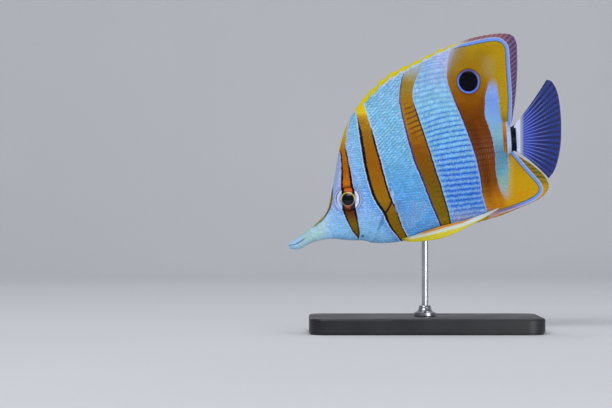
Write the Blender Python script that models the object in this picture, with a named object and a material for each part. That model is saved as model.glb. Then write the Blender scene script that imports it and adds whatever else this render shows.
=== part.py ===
"""Copperband butterflyfish, a life-size still model on a plain display stand.

The fish swims along X with its snout at -X and its left side facing -Y. Its body is
described once, by cross lines drawn over its side from belly to back, each with the
half-width of the body there. Every node of flesh is a stretch of that one shape, and
each fin grows from the same lines. Sizes are in millimetres and are turned to metres
when a mesh is made. The origin is under the middle of the stand, on the floor.
"""

import math

import bmesh
import bpy
import numpy as np

MM = 0.001

# Gaps between neighbouring pieces, and the least half-thickness of a fin
GAP = 0.3
FIN_EDGE = 0.27

# The body's cross lines from the tip of the snout to the root of the tail. Each row
# holds the lower end x and z, the upper end x and z, how far the middle of the line
# bows to the rear, and the greatest half-width on it.
CROSS_LINES = np.array(
    (
        (-67.6, 41.5, -68.0, 44.4, 0.0, 1.4),
        (-62.9, 41.5, -64.9, 46.2, 0.0, 1.9),
        (-57.0, 44.4, -60.5, 49.4, 0.0, 2.3),
        (-51.4, 46.0, -56.2, 52.7, 0.0, 2.8),
        (-45.4, 46.6, -52.4, 56.2, 0.0, 3.7),
        (-39.9, 46.0, -49.1, 60.5, 0.0, 5.0),
        (-34.9, 45.8, -47.1, 68.0, 1.0, 6.6),
        (-31.7, 45.8, -45.2, 77.2, 3.0, 7.9),
        (-29.4, 45.5, -43.0, 90.0, 6.0, 8.8),
        (-27.9, 45.0, -39.4, 102.8, 9.0, 9.4),
        (-26.7, 44.7, -34.4, 110.8, 12.0, 9.9),
        (-19.4, 44.5, -25.9, 117.2, 10.0, 10.3),
        (-10.9, 45.5, -16.9, 123.0, 7.5, 10.5),
        (-1.9, 47.4, -6.9, 128.2, 5.0, 10.5),
        (6.6, 49.6, 4.1, 132.2, 3.0, 10.1),
        (15.1, 51.9, 15.1, 133.5, 1.5, 9.3),
        (23.1, 54.7, 24.1, 131.0, 0.0, 8.3),
        (29.6, 60.5, 30.6, 125.8, -0.5, 7.1),
        (34.3, 68.5, 35.1, 119.5, -1.0, 5.7),
        (37.8, 77.5, 38.3, 113.0, -1.0, 4.5),
        (40.8, 85.0, 40.6, 106.5, -0.5, 3.5),
        (43.8, 90.2, 42.6, 102.5, 0.0, 2.8),
        (46.8, 89.8, 45.4, 104.4, 0.0, 2.3),
    )
)
JAW_ROW = 2.0
CHEEK_ROW = 8.2
GILL_ROW = 10.0
TAIL_ROW = 20.0
LAST_ROW = 22.0
TORSO_ROWS = np.linspace(GILL_ROW, TAIL_ROW, 26)
TAIL_BASE_ROWS = np.linspace(TAIL_ROW, LAST_ROW, 7)

# How a cross section rounds: its widest place, and how blunt it is above and below.
# Under 1 it closes round, as on the forehead, the belly and the root of the tail, and
# over 1 it runs out flat into a fin.
WIDEST_SHARE = 0.44
ABOVE_ROWS = (7.0, 9.5, 12.0, 19.5, 21.2)
ABOVE_POWERS = (0.56, 0.64, 1.15, 1.15, 0.65)
BELOW_ROWS = (14.0, 17.0, 19.5, 21.2)
BELOW_POWERS = (0.55, 1.1, 1.1, 0.65)
KEEL_HALF = 0.2
FIN_ROOT_HALF = 1.3
BACK_FIN_ROWS = (10.0, 11.5)
ANAL_FIN_ROWS = (15.2, 16.4)

# Outlines of the fins
DORSAL_MARGIN = (
    (-34.9, 110.6),
    (-31.9, 115.4),
    (-28.1, 119.8),
    (-20.1, 127.2),
    (-14.0, 130.9),
    (-4.5, 135.3),
    (5.8, 140.3),
    (15.3, 144.2),
    (24.9, 147.4),
    (34.5, 149.1),
    (39.9, 149.3),
    (43.7, 148.3),
    (45.6, 145.2),
    (46.1, 141.0),
    (46.2, 131.0),
    (45.4, 118.4),
    (43.7, 106.3),
    (42.8, 103.2),
)
ANAL_MARGIN = (
    (20.6, 52.9),
    (27.7, 55.2),
    (36.9, 57.8),
    (46.9, 61.8),
    (56.4, 66.1),
    (60.7, 69.8),
    (61.9, 73.6),
    (59.4, 78.5),
    (54.4, 83.0),
    (49.4, 86.5),
    (45.1, 89.2),
    (44.2, 89.9),
)
CAUDAL_MARGIN = (
    (60.8, 126.2),
    (63.3, 125.2),
    (65.8, 121.0),
    (67.4, 113.5),
    (68.1, 103.5),
    (67.9, 94.5),
    (66.7, 87.0),
    (64.8, 81.0),
    (61.9, 76.8),
)
DORSAL_ROWS = (10.0, 21.0)
ANAL_ROWS = (15.6, 21.0)
SPINY_SHARE = 0.46
DORSAL_SPINES = 9
DORSAL_RAYS = 29
ANAL_SPINES = 3
ANAL_RAYS = 20
CAUDAL_RAYS = 17
CAUDAL_BEND = 0.9
SPINE_RIDGE = 0.35
RAY_RIDGE = 0.2
SPINE_TIP = 0.45
SPINE_NOTCH = 0.3

# How a fin thins from its root to its margin, and how a ray rises from it and fades
FIN_THINNING = 1.5
RIDGE_START = 0.17
RIDGE_FADE = 0.6

# Where the fins begin and end, as shares of their root lines, and the steps along a ray
SPINY_START = 0.02
SOFT_START = SPINY_SHARE + 0.003
SOFT_END = 0.985
ANAL_SPAN = (0.03, 0.975)
SPINY_STEPS = (0, 0.35, 0.7, 1)
SOFT_STEPS = (0, 0.2, 0.45, 0.7, 0.9, 1)
ANAL_STEPS = (0, 0.25, 0.5, 0.8, 1)
CAUDAL_STEPS = (0, 0.12, 0.3, 0.55, 0.8, 1)

# The jaws and the line of the mouth: shares are of the height of the snout there
MOUTH_SHARE = 0.58
MOUTH_OPEN = (0.075, 0.03)
LIP_SWELL = 0.3
LIP_SPREAD = 0.22
LIP_ROWS = 0.9
JAW_ROWS = (0.0, 0.12, 0.3, 0.6, 0.9, 1.3, 1.7, JAW_ROW)
JAW_TIP_ROUNDING = (0.55, 0.86, 1.0)

# The gill covers, in rows and shares of the cross lines
COVER_SHARES = (0.06, 0.52)
COVER_EDGE_ROW = 0.1
COVER_EDGE_SHARE = 0.005
COVER_DEPTH = 1.8
COVER_RAISE = 0.35
HEAD_LOW_SHARES = (0.0, 0.012, 0.036)
HEAD_HIGH_SHARES = (0.62, 0.72, 0.82, 0.9, 0.96, 0.99, 1.0)

# The eyes, at the middle of each pupil
EYE_PLACE = (-38.6, 66.3)
EYE_RADIUS = 6.0
EYE_DOME = 2.2
EYE_BACK = 3.0
EYE_SUNK = 1.2
EYE_DOME_SHARES = (0.35, 0.52, 0.68, 0.84, 1.0)
EYE_BACK_ANGLES = (22, 47, 72)
RIM_RADIUS = 6.75
RIM_HALF = 0.6
RIM_SUNK = 0.1

# The nostrils, two on each side in front of the eye
NOSTRIL_PLACES = ((-44.2, 66.6), (-43.7, 69.2))
NOSTRIL_RADIUS = 0.5
NOSTRIL_DEPTH = 0.45
NOSTRIL_RIM_HALF = 0.28

# The pectoral fins: reach along the longest ray, the shortest as a share of it, the
# angles of the first and last ray in the side view and the swing out from the side
PECTORAL_ROOT_TOP = (-14.9, 66.2)
PECTORAL_ROOT_LOW = (-14.6, 60.4)
PECTORAL_REACH = 21.0
PECTORAL_LEAST = 0.55
PECTORAL_FIRST = 0.86
PECTORAL_ANGLES = (-4.0, -50.0)
PECTORAL_SPREAD = 36.0
PECTORAL_RAYS = 14
PECTORAL_ROOT_HALF = 0.57
PECTORAL_RIDGE = 0.16
PECTORAL_STEPS = (-0.12, 0.06, 0.3, 0.6, 0.85, 1.0)

# The pelvic fins: the lower and upper edge of the folded blade
PELVIC_LOW = (
    (-10.4, 45.0),
    (-5.9, 45.2),
    (1.7, 45.8),
    (7.4, 46.8),
    (13.2, 48.8),
    (18.9, 51.5),
    (27.6, 56.1),
    (36.5, 61.5),
)
PELVIC_HIGH = (
    (-10.6, 48.0),
    (-6.4, 48.6),
    (-0.6, 50.3),
    (7.1, 52.8),
    (13.2, 54.4),
    (18.9, 55.7),
    (27.7, 58.6),
    (36.5, 62.1),
)
PELVIC_SHARES = (0.0, 0.04, 0.09, 0.16, 0.25, 0.35, 0.46, 0.57, 0.68, 0.79, 0.9, 1.0)
PELVIC_OUT_SHARES = (0.0, 0.25, 0.5, 1.0)
PELVIC_OUT = (3.4, 5.6, 6.6, 4.0)
PELVIC_LEAN = 0.9
PELVIC_HALF = 0.45
PELVIC_RIDGE = 0.2
PELVIC_RAYS = 6

# The display stand
BASE_LENGTH = 116.0
BASE_WIDTH = 62.0
BASE_HEIGHT = 8.0
BASE_BEVEL = 1.2
BASE_CORNER = 9.0
ROD_RADIUS = 1.6
COLLAR_RADIUS = 5.5
COLLAR_HEIGHT = 5.0
COLLAR_WALL = 1.2
ROD_SPARE = 4.0

COLOURS = {
    "head": (0.33, 0.58, 0.86),
    "upper_jaw": (0.42, 0.62, 0.88),
    "lower_jaw": (0.60, 0.76, 0.92),
    "gill_cover": (0.28, 0.52, 0.88),
    "eye": (0.012, 0.012, 0.02),
    "torso": (0.22, 0.50, 0.85),
    "tail_base": (0.50, 0.62, 0.85),
    "spiny_dorsal_fin": (0.78, 0.74, 0.02),
    "soft_dorsal_fin": (0.45, 0.26, 0.02),
    "anal_fin": (0.50, 0.30, 0.01),
    "caudal_fin": (0.40, 0.52, 0.90),
    "pectoral_fin": (0.62, 0.74, 0.90),
    "pelvic_fin": (0.88, 0.88, 0.60),
    "stand_base": (0.05, 0.05, 0.055),
    "stand_collar": (0.60, 0.60, 0.62),
    "stand_rod": (0.62, 0.62, 0.64),
}


def clear_scene():
    """Removes what the scene holds."""
    for thing in list(bpy.data.objects):
        bpy.data.objects.remove(thing, do_unlink=True)


def material_for(kind, roughness=0.4, metallic=0.0):
    """The material of one kind of node, in its own colour."""
    material = bpy.data.materials.get(kind)
    if material is None:
        material = bpy.data.materials.new(kind)
        material.use_nodes = True
        shader = material.node_tree.nodes["Principled BSDF"]
        shader.inputs["Base Color"].default_value = (*COLOURS[kind], 1.0)
        shader.inputs["Roughness"].default_value = roughness
        shader.inputs["Metallic"].default_value = metallic
    return material


def smooth_rows(rows, at):
    """Reads a table at fractional row numbers, by a cubic curve through its rows."""
    rows = np.asarray(rows, float)
    padded = np.vstack((2 * rows[0] - rows[1], rows, 2 * rows[-1] - rows[-2]))
    at = np.clip(np.asarray(at, float), 0.0, len(rows) - 1.0)
    first = np.minimum(at.astype(int), len(rows) - 2)
    part = (at - first)[..., None]
    before, start, end, after = (padded[first + step] for step in range(4))
    return 0.5 * (
        2 * start
        + (end - before) * part
        + (2 * before - 5 * start + 4 * end - after) * part**2
        + (3 * start - before - 3 * end + after) * part**3
    )


def ramp(value, low, high):
    """Rises smoothly from 0 at low to 1 at high."""
    share = np.clip((np.asarray(value, float) - low) / (high - low), 0.0, 1.0)
    return share * share * (3 - 2 * share)


def body_sheet(rows, shares, grow=0.0):
    """One side of the body on the given cross lines: x, half-width and z.

    A cross line is straight from its lower to its upper end, with its middle bowed to
    the rear. Along it the half-width follows a lens, with blunt ends.
    """
    rows = np.asarray(rows, float)
    shares = np.broadcast_to(np.asarray(shares, float), (len(rows), np.shape(shares)[-1]))
    low_x, low_z, high_x, high_z, bow, half = (
        column[:, None] for column in smooth_rows(CROSS_LINES, rows).T
    )
    x = low_x * (1 - shares) + high_x * shares + bow * 4 * shares * (1 - shares)
    z = low_z * (1 - shares) + high_z * shares
    below = (WIDEST_SHARE - shares) / WIDEST_SHARE
    above = (shares - WIDEST_SHARE) / (1 - WIDEST_SHARE)
    lens = np.where(
        shares < WIDEST_SHARE,
        np.clip(1 - below**2, 0, 1) ** np.interp(rows, BELOW_ROWS, BELOW_POWERS)[:, None],
        np.clip(1 - above**2, 0, 1) ** np.interp(rows, ABOVE_ROWS, ABOVE_POWERS)[:, None],
    )
    back = KEEL_HALF + (FIN_ROOT_HALF - KEEL_HALF) * ramp(rows, *BACK_FIN_ROWS)[:, None]
    keel = KEEL_HALF + (FIN_ROOT_HALF - KEEL_HALF) * ramp(rows, *ANAL_FIN_ROWS)[:, None]
    edge = keel * (1 - shares) + back * shares
    return np.stack((x, np.sqrt((half * lens) ** 2 + edge**2) + grow, z), axis=-1)


FLANK = body_sheet(np.linspace(0, LAST_ROW, 331), np.linspace(0, 1, 161)).reshape(-1, 3)


def flank(x, z):
    """Half-width of the body at a place on its side, or 0 away from the body."""
    far = np.hypot(FLANK[:, 0] - x, FLANK[:, 2] - z)
    near = np.argsort(far)[:6]
    if far[near[0]] > 0.6:
        return 0.0
    weight = 1 / (far[near] + 0.01)
    return float((FLANK[near, 1] * weight).sum() / weight.sum())


def shares_round(count, low=0.0, high=1.0):
    """Shares along a cross line, closer together at both ends, where it rounds."""
    turn = np.linspace(0, math.pi, count)
    return low + (high - low) * (1 - np.cos(turn)) / 2


def left_of(sheet):
    """The same sheet on the fish's left side."""
    return sheet * np.array((1.0, -1.0, 1.0))


def across(sheet, along):
    """Unit vectors in the side view, square to a sheet's lines that run along."""
    slope = np.gradient(sheet[..., [0, 2]], axis=along)
    length = np.maximum(np.linalg.norm(slope, axis=-1), 1e-9)
    return np.stack((slope[..., 1] / length, -slope[..., 0] / length), axis=-1)


def set_back(sheet, row, distance):
    """Moves one cross line of a sheet to the rear by a distance, square to itself."""
    line = sheet[row : row + 1]
    moved = across(line, 1)[0] * distance
    sheet[row, :, 0] += moved[:, 0]
    sheet[row, :, 2] += moved[:, 1]


def new_object(name, points, faces, kind):
    """Makes an object from points in millimetres and closed, outward faces."""
    mesh = bpy.data.meshes.new(name)
    mesh.from_pydata((np.asarray(points) * MM).tolist(), [], faces)
    mesh.validate()
    build = bmesh.new()
    build.from_mesh(mesh)
    if build.calc_volume(signed=True) < 0:
        bmesh.ops.reverse_faces(build, faces=build.faces)
    build.to_mesh(mesh)
    build.free()
    thing = bpy.data.objects.new(name, mesh)
    bpy.context.scene.collection.objects.link(thing)
    mesh.materials.append(material_for(kind))
    return thing


def slab(name, near, far, kind):
    """Closes two facing sheets of the same grid with a wall around their edge.

    Both sheets are split into triangles alike, so a thin slab never meets itself.
    """
    count, width = near.shape[:2]
    points = np.concatenate((near.reshape(-1, 3), far.reshape(-1, 3)))
    offset = count * width
    faces = []
    for k in range(count - 1):
        for j in range(width - 1):
            a = k * width + j
            b, c, d = a + 1, a + width + 1, a + width
            faces += [(a, b, c), (a, c, d)]
            faces += [(c + offset, b + offset, a + offset), (d + offset, c + offset, a + offset)]
    rim = [j for j in range(width)]
    rim += [k * width + width - 1 for k in range(1, count)]
    rim += [(count - 1) * width + j for j in range(width - 2, -1, -1)]
    rim += [k * width for k in range(count - 2, 0, -1)]
    for here, there in zip(rim, rim[1:] + rim[:1]):
        faces.append((there, here, here + offset))
        faces.append((there, here + offset, there + offset))
    return new_object(name, points, faces, kind)


def pair(name, sheet, kind):
    """A node with a left and a right side, from the half-widths of one side."""
    return slab(name, left_of(sheet), sheet, kind)


def turned(name, profile, place, axis, kind, segments=24):
    """A solid of revolution: a profile of radius and height about an axis."""
    axis = np.asarray(axis, float) / np.linalg.norm(axis)
    helper = np.array((0.0, 0.0, 1.0)) if abs(axis[2]) < 0.9 else np.array((1.0, 0.0, 0.0))
    first = np.cross(axis, helper)
    first /= np.linalg.norm(first)
    second = np.cross(axis, first)
    turn = np.arange(segments) * 2 * math.pi / segments
    ring = np.cos(turn)[:, None] * first + np.sin(turn)[:, None] * second
    profile = np.asarray(profile, float)
    middle = profile[1:-1]
    points = [place + axis * profile[0, 1], place + axis * profile[-1, 1]]
    for radius, height in middle:
        points.extend(place + axis * height + ring * radius)
    faces = []
    for j in range(segments):
        after = (j + 1) % segments
        faces.append((0, 2 + j, 2 + after))
        last = 2 + (len(middle) - 1) * segments
        faces.append((1, last + after, last + j))
        for k in range(len(middle) - 1):
            low, high = 2 + k * segments, 2 + (k + 1) * segments
            faces.append((low + j, high + j, high + after))
            faces.append((low + j, high + after, low + after))
    return new_object(name, points, faces, kind)


def combine(thing, others, operation):
    """One Boolean of a piece with a collection of closed pieces, which then go."""
    group = bpy.data.collections.new("with_" + thing.name)
    for other in others:
        group.objects.link(other)
    change = thing.modifiers.new("combine", "BOOLEAN")
    change.operation = operation
    change.operand_type = "COLLECTION"
    change.collection = group
    change.solver = "EXACT"
    evaluated = thing.evaluated_get(bpy.context.evaluated_depsgraph_get())
    mesh = bpy.data.meshes.new_from_object(evaluated)
    thing.modifiers.clear()
    thing.data = mesh
    for other in others:
        bpy.data.objects.remove(other, do_unlink=True)
    bpy.data.collections.remove(group)
    keep_largest(thing)


def keep_largest(thing):
    """Keeps the largest closed surface of a mesh, in triangles."""
    build = bmesh.new()
    build.from_mesh(thing.data)
    bmesh.ops.remove_doubles(build, verts=build.verts, dist=1e-7)
    bmesh.ops.triangulate(build, faces=build.faces)
    left = set(build.faces)
    groups = []
    while left:
        queue = [left.pop()]
        group = list(queue)
        while queue:
            face = queue.pop()
            for edge in face.edges:
                for other in edge.link_faces:
                    if other in left:
                        left.remove(other)
                        queue.append(other)
                        group.append(other)
        groups.append(group)
    groups.sort(key=len)
    spare = [face for group in groups[:-1] for face in group]
    bmesh.ops.delete(build, geom=spare, context="FACES")
    build.to_mesh(thing.data)
    build.free()


def fraction_curve(points, samples=600):
    """A function that reads a smooth curve through points at shares of its length."""
    rows = np.linspace(0, len(points) - 1, samples)
    line = smooth_rows(points, rows)
    steps = np.linalg.norm(np.diff(line, axis=0), axis=1)
    reach = np.concatenate(([0], np.cumsum(steps)))
    reach /= reach[-1]

    def read(share):
        return np.stack([np.interp(share, reach, line[:, axis]) for axis in range(2)], axis=-1)

    return read


def body_edge(rows, upper):
    """The upper or lower edge of the body between two rows, read by shares of length."""
    numbers = np.linspace(rows[0], rows[1], 60)
    sheet = body_sheet(numbers, [1.0 if upper else 0.0])
    return fraction_curve(sheet[:, 0, [0, 2]])


def fin_sheet(root, margin, shares, steps, ridge, bend=0.0):
    """Half of a fin in the fish's middle plane: x, half-thickness and z.

    Each column runs along a ray, from the root line to the margin. The membrane thins
    from the root to the margin, and ridge gives how far each column stands out of it.
    A bend draws the outer rays towards the middle one, half way along.
    """
    low = root(shares)[:, None, :]
    high = margin(shares)[:, None, :]
    reach = high - low
    length = np.maximum(np.linalg.norm(reach, axis=-1, keepdims=True), 1e-6)
    steps = np.asarray(steps, float)[None, :, None]
    place = low + reach / length * GAP + reach * steps * (1 - GAP / length)
    across_fin = steps[..., 0]
    place[..., 1] += bend * (2 * shares[:, None] - 1) * 4 * across_fin * (1 - across_fin)
    half = FIN_EDGE + (FIN_ROOT_HALF - FIN_EDGE) * (1 - across_fin) ** FIN_THINNING
    rise = np.minimum(1, across_fin / RIDGE_START) * (1 - RIDGE_FADE * across_fin)
    half = half + np.asarray(ridge)[:, None] * rise
    return np.stack((place[..., 0], half, place[..., 1]), axis=-1)


def make_jaws():
    """The upper and lower jaw at the tip of the snout, parted by the mouth."""
    rows = np.array(JAW_ROWS)
    rounding = np.interp(rows, JAW_ROWS[: len(JAW_TIP_ROUNDING)], JAW_TIP_ROUNDING)[:, None]
    opening = np.interp(rows, (0.0, JAW_ROW), MOUTH_OPEN)[:, None]
    spread = shares_round(9)[None, :]
    sides = {
        "lower_jaw": (0.0 * opening, MOUTH_SHARE - opening),
        "upper_jaw": (MOUTH_SHARE + opening, 1.0 + 0.0 * opening),
    }
    for name, (low, high) in sides.items():
        shares = low + (high - low) * spread
        sheet = body_sheet(rows, shares)
        near_mouth = np.exp(-(((shares - MOUTH_SHARE) / LIP_SPREAD) ** 2))
        at_front = 1 - ramp(rows, LIP_ROWS * 0.5, LIP_ROWS)[:, None]
        sheet[..., 1] = (sheet[..., 1] + LIP_SWELL * near_mouth * at_front) * rounding
        set_back(sheet, len(rows) - 1, GAP / 2)
        pair(name, sheet, name)


def make_head():
    """The head and the tube of the snout, up to the edge of the gill opening.

    Its sides are lowered under the gill covers, inside a narrow step.
    """
    step_row = CHEEK_ROW + COVER_EDGE_ROW
    low, high = COVER_SHARES[0] + COVER_EDGE_SHARE, COVER_SHARES[1] - COVER_EDGE_SHARE
    rows = np.concatenate(
        (np.linspace(JAW_ROW, CHEEK_ROW, 15), np.linspace(step_row, GILL_ROW, 5))
    )
    shares = np.concatenate(
        (
            HEAD_LOW_SHARES,
            COVER_SHARES[:1],
            np.linspace(low, high, 7),
            COVER_SHARES[1:],
            HEAD_HIGH_SHARES,
        )
    )
    sheet = body_sheet(rows, shares)
    under_cover = (rows >= step_row)[:, None] & ((shares >= low) & (shares <= high))[None, :]
    sheet[..., 1] -= COVER_DEPTH * under_cover
    set_back(sheet, 0, GAP / 2)
    set_back(sheet, len(rows) - 1, -GAP / 2)
    head = pair("head", sheet, "head")
    cuts = []
    for side in (-1, 1):
        cuts.append(eye_solid("socket", side, GAP, "head"))
        for number, (x, z) in enumerate(NOSTRIL_PLACES):
            place = np.array((x, side * flank(x, z), z))
            height, radius = NOSTRIL_DEPTH, NOSTRIL_RADIUS
            profile = ((0, height + 0.1), (radius, height), (radius, -height), (0, -height - 0.1))
            cuts.append(turned(f"nostril_{number}", profile, place, eye_axis(side), "head", 8))
    rims = [rim_ring(side) for side in (-1, 1)]
    rims += [nostril_ring(x, z, side) for x, z in NOSTRIL_PLACES for side in (-1, 1)]
    combine(head, rims, "UNION")
    combine(head, cuts, "DIFFERENCE")


def eye_axis(side):
    """Direction in which an eye looks, square to the head around it."""
    x, z = EYE_PLACE
    slope_x = (flank(x + RIM_RADIUS, z) - flank(x - RIM_RADIUS, z)) / (2 * RIM_RADIUS)
    slope_z = (flank(x, z + RIM_RADIUS) - flank(x, z - RIM_RADIUS)) / (2 * RIM_RADIUS)
    axis = np.array((-slope_x, 1.0, -slope_z))
    axis /= np.linalg.norm(axis)
    return axis * np.array((1.0, side, 1.0))


def eye_solid(name, side, grow, kind):
    """An eye, or its socket when grown: a dome over a shallow bowl."""
    x, z = EYE_PLACE
    place = np.array((x, side * (flank(x, z) - EYE_SUNK), z))
    radius = EYE_RADIUS + grow
    dome = EYE_DOME + 4 * grow
    back = EYE_BACK + grow
    profile = [(0.0, dome)]
    for share in EYE_DOME_SHARES:
        profile.append((radius * share, dome * (1 - share**2)))
    for degrees in EYE_BACK_ANGLES:
        turn = math.radians(degrees)
        profile.append((radius * math.cos(turn), -back * math.sin(turn)))
    profile.append((0.0, -back))
    return turned(name, profile, place, eye_axis(side), kind)


def ring_on_skin(name, x, z, side, radius, half, segments, sides=6):
    """A ring that lies on the skin around a place, round in its own section."""
    turn = np.arange(segments) * 2 * math.pi / segments
    middle = [
        (x + radius * math.cos(t), flank(x + radius * math.cos(t), z + radius * math.sin(t)), t)
        for t in turn
    ]
    points = []
    for step in np.arange(sides) * 2 * math.pi / sides:
        for place_x, width, t in middle:
            out = half * math.cos(step)
            points.append(
                (
                    place_x + out * math.cos(t),
                    side * (width - RIM_SUNK + half * math.sin(step)),
                    z + (radius + out) * math.sin(t),
                )
            )
    faces = []
    for k in range(sides):
        for j in range(segments):
            a, b = k * segments + j, k * segments + (j + 1) % segments
            above = ((k + 1) % sides) * segments
            c, d = above + (j + 1) % segments, above + j
            faces += [(a, b, c), (a, c, d)]
    return new_object(name, points, faces, "head")


def rim_ring(side):
    """The raised rim round an eye."""
    x, z = EYE_PLACE
    return ring_on_skin("rim", x, z, side, RIM_RADIUS, RIM_HALF, 28)


def nostril_ring(x, z, side):
    """The low rim round one nostril."""
    radius = NOSTRIL_RADIUS + NOSTRIL_RIM_HALF / 2
    return ring_on_skin("nostril_rim", x, z, side, radius, NOSTRIL_RIM_HALF, 8, 5)


def make_eyes():
    """The two eyes, clear of their sockets all round."""
    for side, name in ((-1, "eye_left"), (1, "eye_right")):
        eye_solid(name, side, 0.0, "eye")


def make_gill_covers():
    """The two gill covers: plates laid in the sides of the head, raised at the rear."""
    rows = np.linspace(CHEEK_ROW + 2 * COVER_EDGE_ROW, GILL_ROW, 7)
    low, high = COVER_SHARES
    shares = np.linspace(low + 2 * COVER_EDGE_SHARE, high - 2 * COVER_EDGE_SHARE, 9)
    outer = body_sheet(rows, shares)
    rise = COVER_RAISE * ramp(rows, CHEEK_ROW, GILL_ROW)[:, None]
    outer[..., 1] += rise
    inner = body_sheet(rows, shares)
    inner[..., 1] -= COVER_DEPTH - GAP
    for sheet in (outer, inner):
        set_back(sheet, len(rows) - 1, -GAP / 2)
    slab("gill_cover_left", left_of(outer), left_of(inner), "gill_cover")
    slab("gill_cover_right", outer, inner, "gill_cover")


def make_trunk():
    """The torso behind the gill openings and the root of the tail."""
    for name, rows, width in (("torso", TORSO_ROWS, 17), ("tail_base", TAIL_BASE_ROWS, 11)):
        sheet = body_sheet(rows, shares_round(width))
        set_back(sheet, 0, GAP / 2)
        set_back(sheet, len(rows) - 1, -GAP / 2)
        pair(name, sheet, name)


def rayed_shares(start, end, rays):
    """Columns from start to end of a fin, one in each valley and on each ray."""
    shares = np.linspace(start, end, 2 * rays + 1)
    on_ray = np.arange(2 * rays + 1) % 2 == 1
    return shares, on_ray


def make_dorsal_fins():
    """The folded spines at the front of the back, then the tall soft fin."""
    root = body_edge(DORSAL_ROWS, True)
    margin = fraction_curve(DORSAL_MARGIN)
    shares, on_ray = rayed_shares(SPINY_START, SPINY_SHARE, DORSAL_SPINES)
    sheet = fin_sheet(root, margin, shares, SPINY_STEPS, SPINE_RIDGE * on_ray)
    lean = sheet[on_ray, -1] - sheet[on_ray, -2]
    lean /= np.linalg.norm(lean, axis=-1, keepdims=True)
    sheet[on_ray, -1] += lean * SPINE_TIP
    sheet[~on_ray, -1, 2] -= SPINE_NOTCH
    pair("spiny_dorsal_fin", sheet, "spiny_dorsal_fin")
    shares, on_ray = rayed_shares(SOFT_START, SOFT_END, DORSAL_RAYS)
    sheet = fin_sheet(root, margin, shares, SOFT_STEPS, RAY_RIDGE * on_ray)
    pair("soft_dorsal_fin", sheet, "soft_dorsal_fin")


def make_anal_fin():
    """The anal fin, with three spines in front of its rays."""
    root = body_edge(ANAL_ROWS, False)
    margin = fraction_curve(ANAL_MARGIN)
    shares, on_ray = rayed_shares(*ANAL_SPAN, ANAL_SPINES + ANAL_RAYS)
    ridge = np.where(np.arange(len(shares)) < 2 * ANAL_SPINES, SPINE_RIDGE, RAY_RIDGE) * on_ray
    sheet = fin_sheet(root, margin, shares, ANAL_STEPS, ridge)
    pair("anal_fin", sheet, "anal_fin")


def make_caudal_fin():
    """The tail fin, a fan of rays from the end of the body."""
    end = body_sheet([LAST_ROW], [0.0, 1.0])[0]
    root = fraction_curve(((end[1, 0], end[1, 2]), (end[0, 0], end[0, 2])))
    margin = fraction_curve(CAUDAL_MARGIN)
    shares, on_ray = rayed_shares(0.0, 1.0, CAUDAL_RAYS)
    sheet = fin_sheet(root, margin, shares, CAUDAL_STEPS, RAY_RIDGE * on_ray, CAUDAL_BEND)
    pair("caudal_fin", sheet, "caudal_fin")


def make_pectoral_fins():
    """The fans behind the gill covers, spread out and back from the side."""
    columns = 2 * PECTORAL_RAYS + 1
    share = np.linspace(0, 1, columns)
    on_ray = np.arange(columns) % 2 == 1
    angle = np.radians(np.interp(share, (0, 1), PECTORAL_ANGLES))
    reach = PECTORAL_REACH * (1 - (1 - PECTORAL_LEAST) * share)
    reach *= np.interp(share, (0, 1 / PECTORAL_RAYS), (PECTORAL_FIRST, 1.0))
    top, low = np.array(PECTORAL_ROOT_TOP), np.array(PECTORAL_ROOT_LOW)
    spread = math.radians(PECTORAL_SPREAD)
    steps = np.array(PECTORAL_STEPS)
    sheets = []
    for face in (-1, 1):
        root = top + (low - top) * share[:, None]
        along = reach[:, None] * steps
        forward = along * np.cos(angle)[:, None]
        x = root[:, :1] + forward * math.cos(spread)
        z = root[:, 1:] + along * np.sin(angle)[:, None]
        width = np.array([flank(*place) for place in root])[:, None]
        y = width + forward * math.sin(spread)
        thicken = (PECTORAL_ROOT_HALF - FIN_EDGE) * (1 - steps.clip(0, 1)) ** 2
        half = FIN_EDGE + thicken + PECTORAL_RIDGE * on_ray[:, None]
        x = x - face * half * math.sin(spread)
        y = y + face * half * math.cos(spread)
        sheets.append(np.stack((x, y, z), axis=-1))
    for name, turn in (("pectoral_fin_left", left_of), ("pectoral_fin_right", np.array)):
        fin = slab(name, turn(sheets[0]), turn(sheets[1]), "pectoral_fin")
        combine(fin, [grown_trunk("trunk_cutter")], "DIFFERENCE")


def make_pelvic_fins():
    """The long folded blades under the belly, each with a spine and its rays."""
    share = np.array(PELVIC_SHARES)
    low = fraction_curve(PELVIC_LOW)(share)[:, None, :]
    high = fraction_curve(PELVIC_HIGH)(share)[:, None, :]
    columns = 2 * PELVIC_RAYS + 1
    over = np.linspace(0, 1, columns)
    on_ray = np.arange(columns) % 2 == 1
    place = low + (high - low) * over[None, :, None]
    middle_y = np.interp(share, PELVIC_OUT_SHARES, PELVIC_OUT)
    middle_y = middle_y[:, None] + PELVIC_LEAN * (over[None, :] - 0.5)
    thin = FIN_EDGE + (PELVIC_HALF - FIN_EDGE) * (1 - share)[:, None]
    half = thin + PELVIC_RIDGE * on_ray[None, :] * (1 - 0.5 * share)[:, None]
    near = np.stack((place[..., 0], middle_y - half, place[..., 1]), axis=-1)
    far = np.stack((place[..., 0], middle_y + half, place[..., 1]), axis=-1)
    for name, turn in (("pelvic_fin_left", left_of), ("pelvic_fin_right", np.array)):
        fin = slab(name, turn(near), turn(far), "pelvic_fin")
        combine(fin, [grown_trunk("trunk_cutter")], "DIFFERENCE")


def grown_trunk(name):
    """The torso grown by the gap, to cut what grows from it or holds it."""
    sheet = body_sheet(TORSO_ROWS, shares_round(17), GAP)
    sheet[:, 0, 2] -= GAP
    sheet[:, -1, 2] += GAP
    return pair(name, sheet, "torso")


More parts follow.
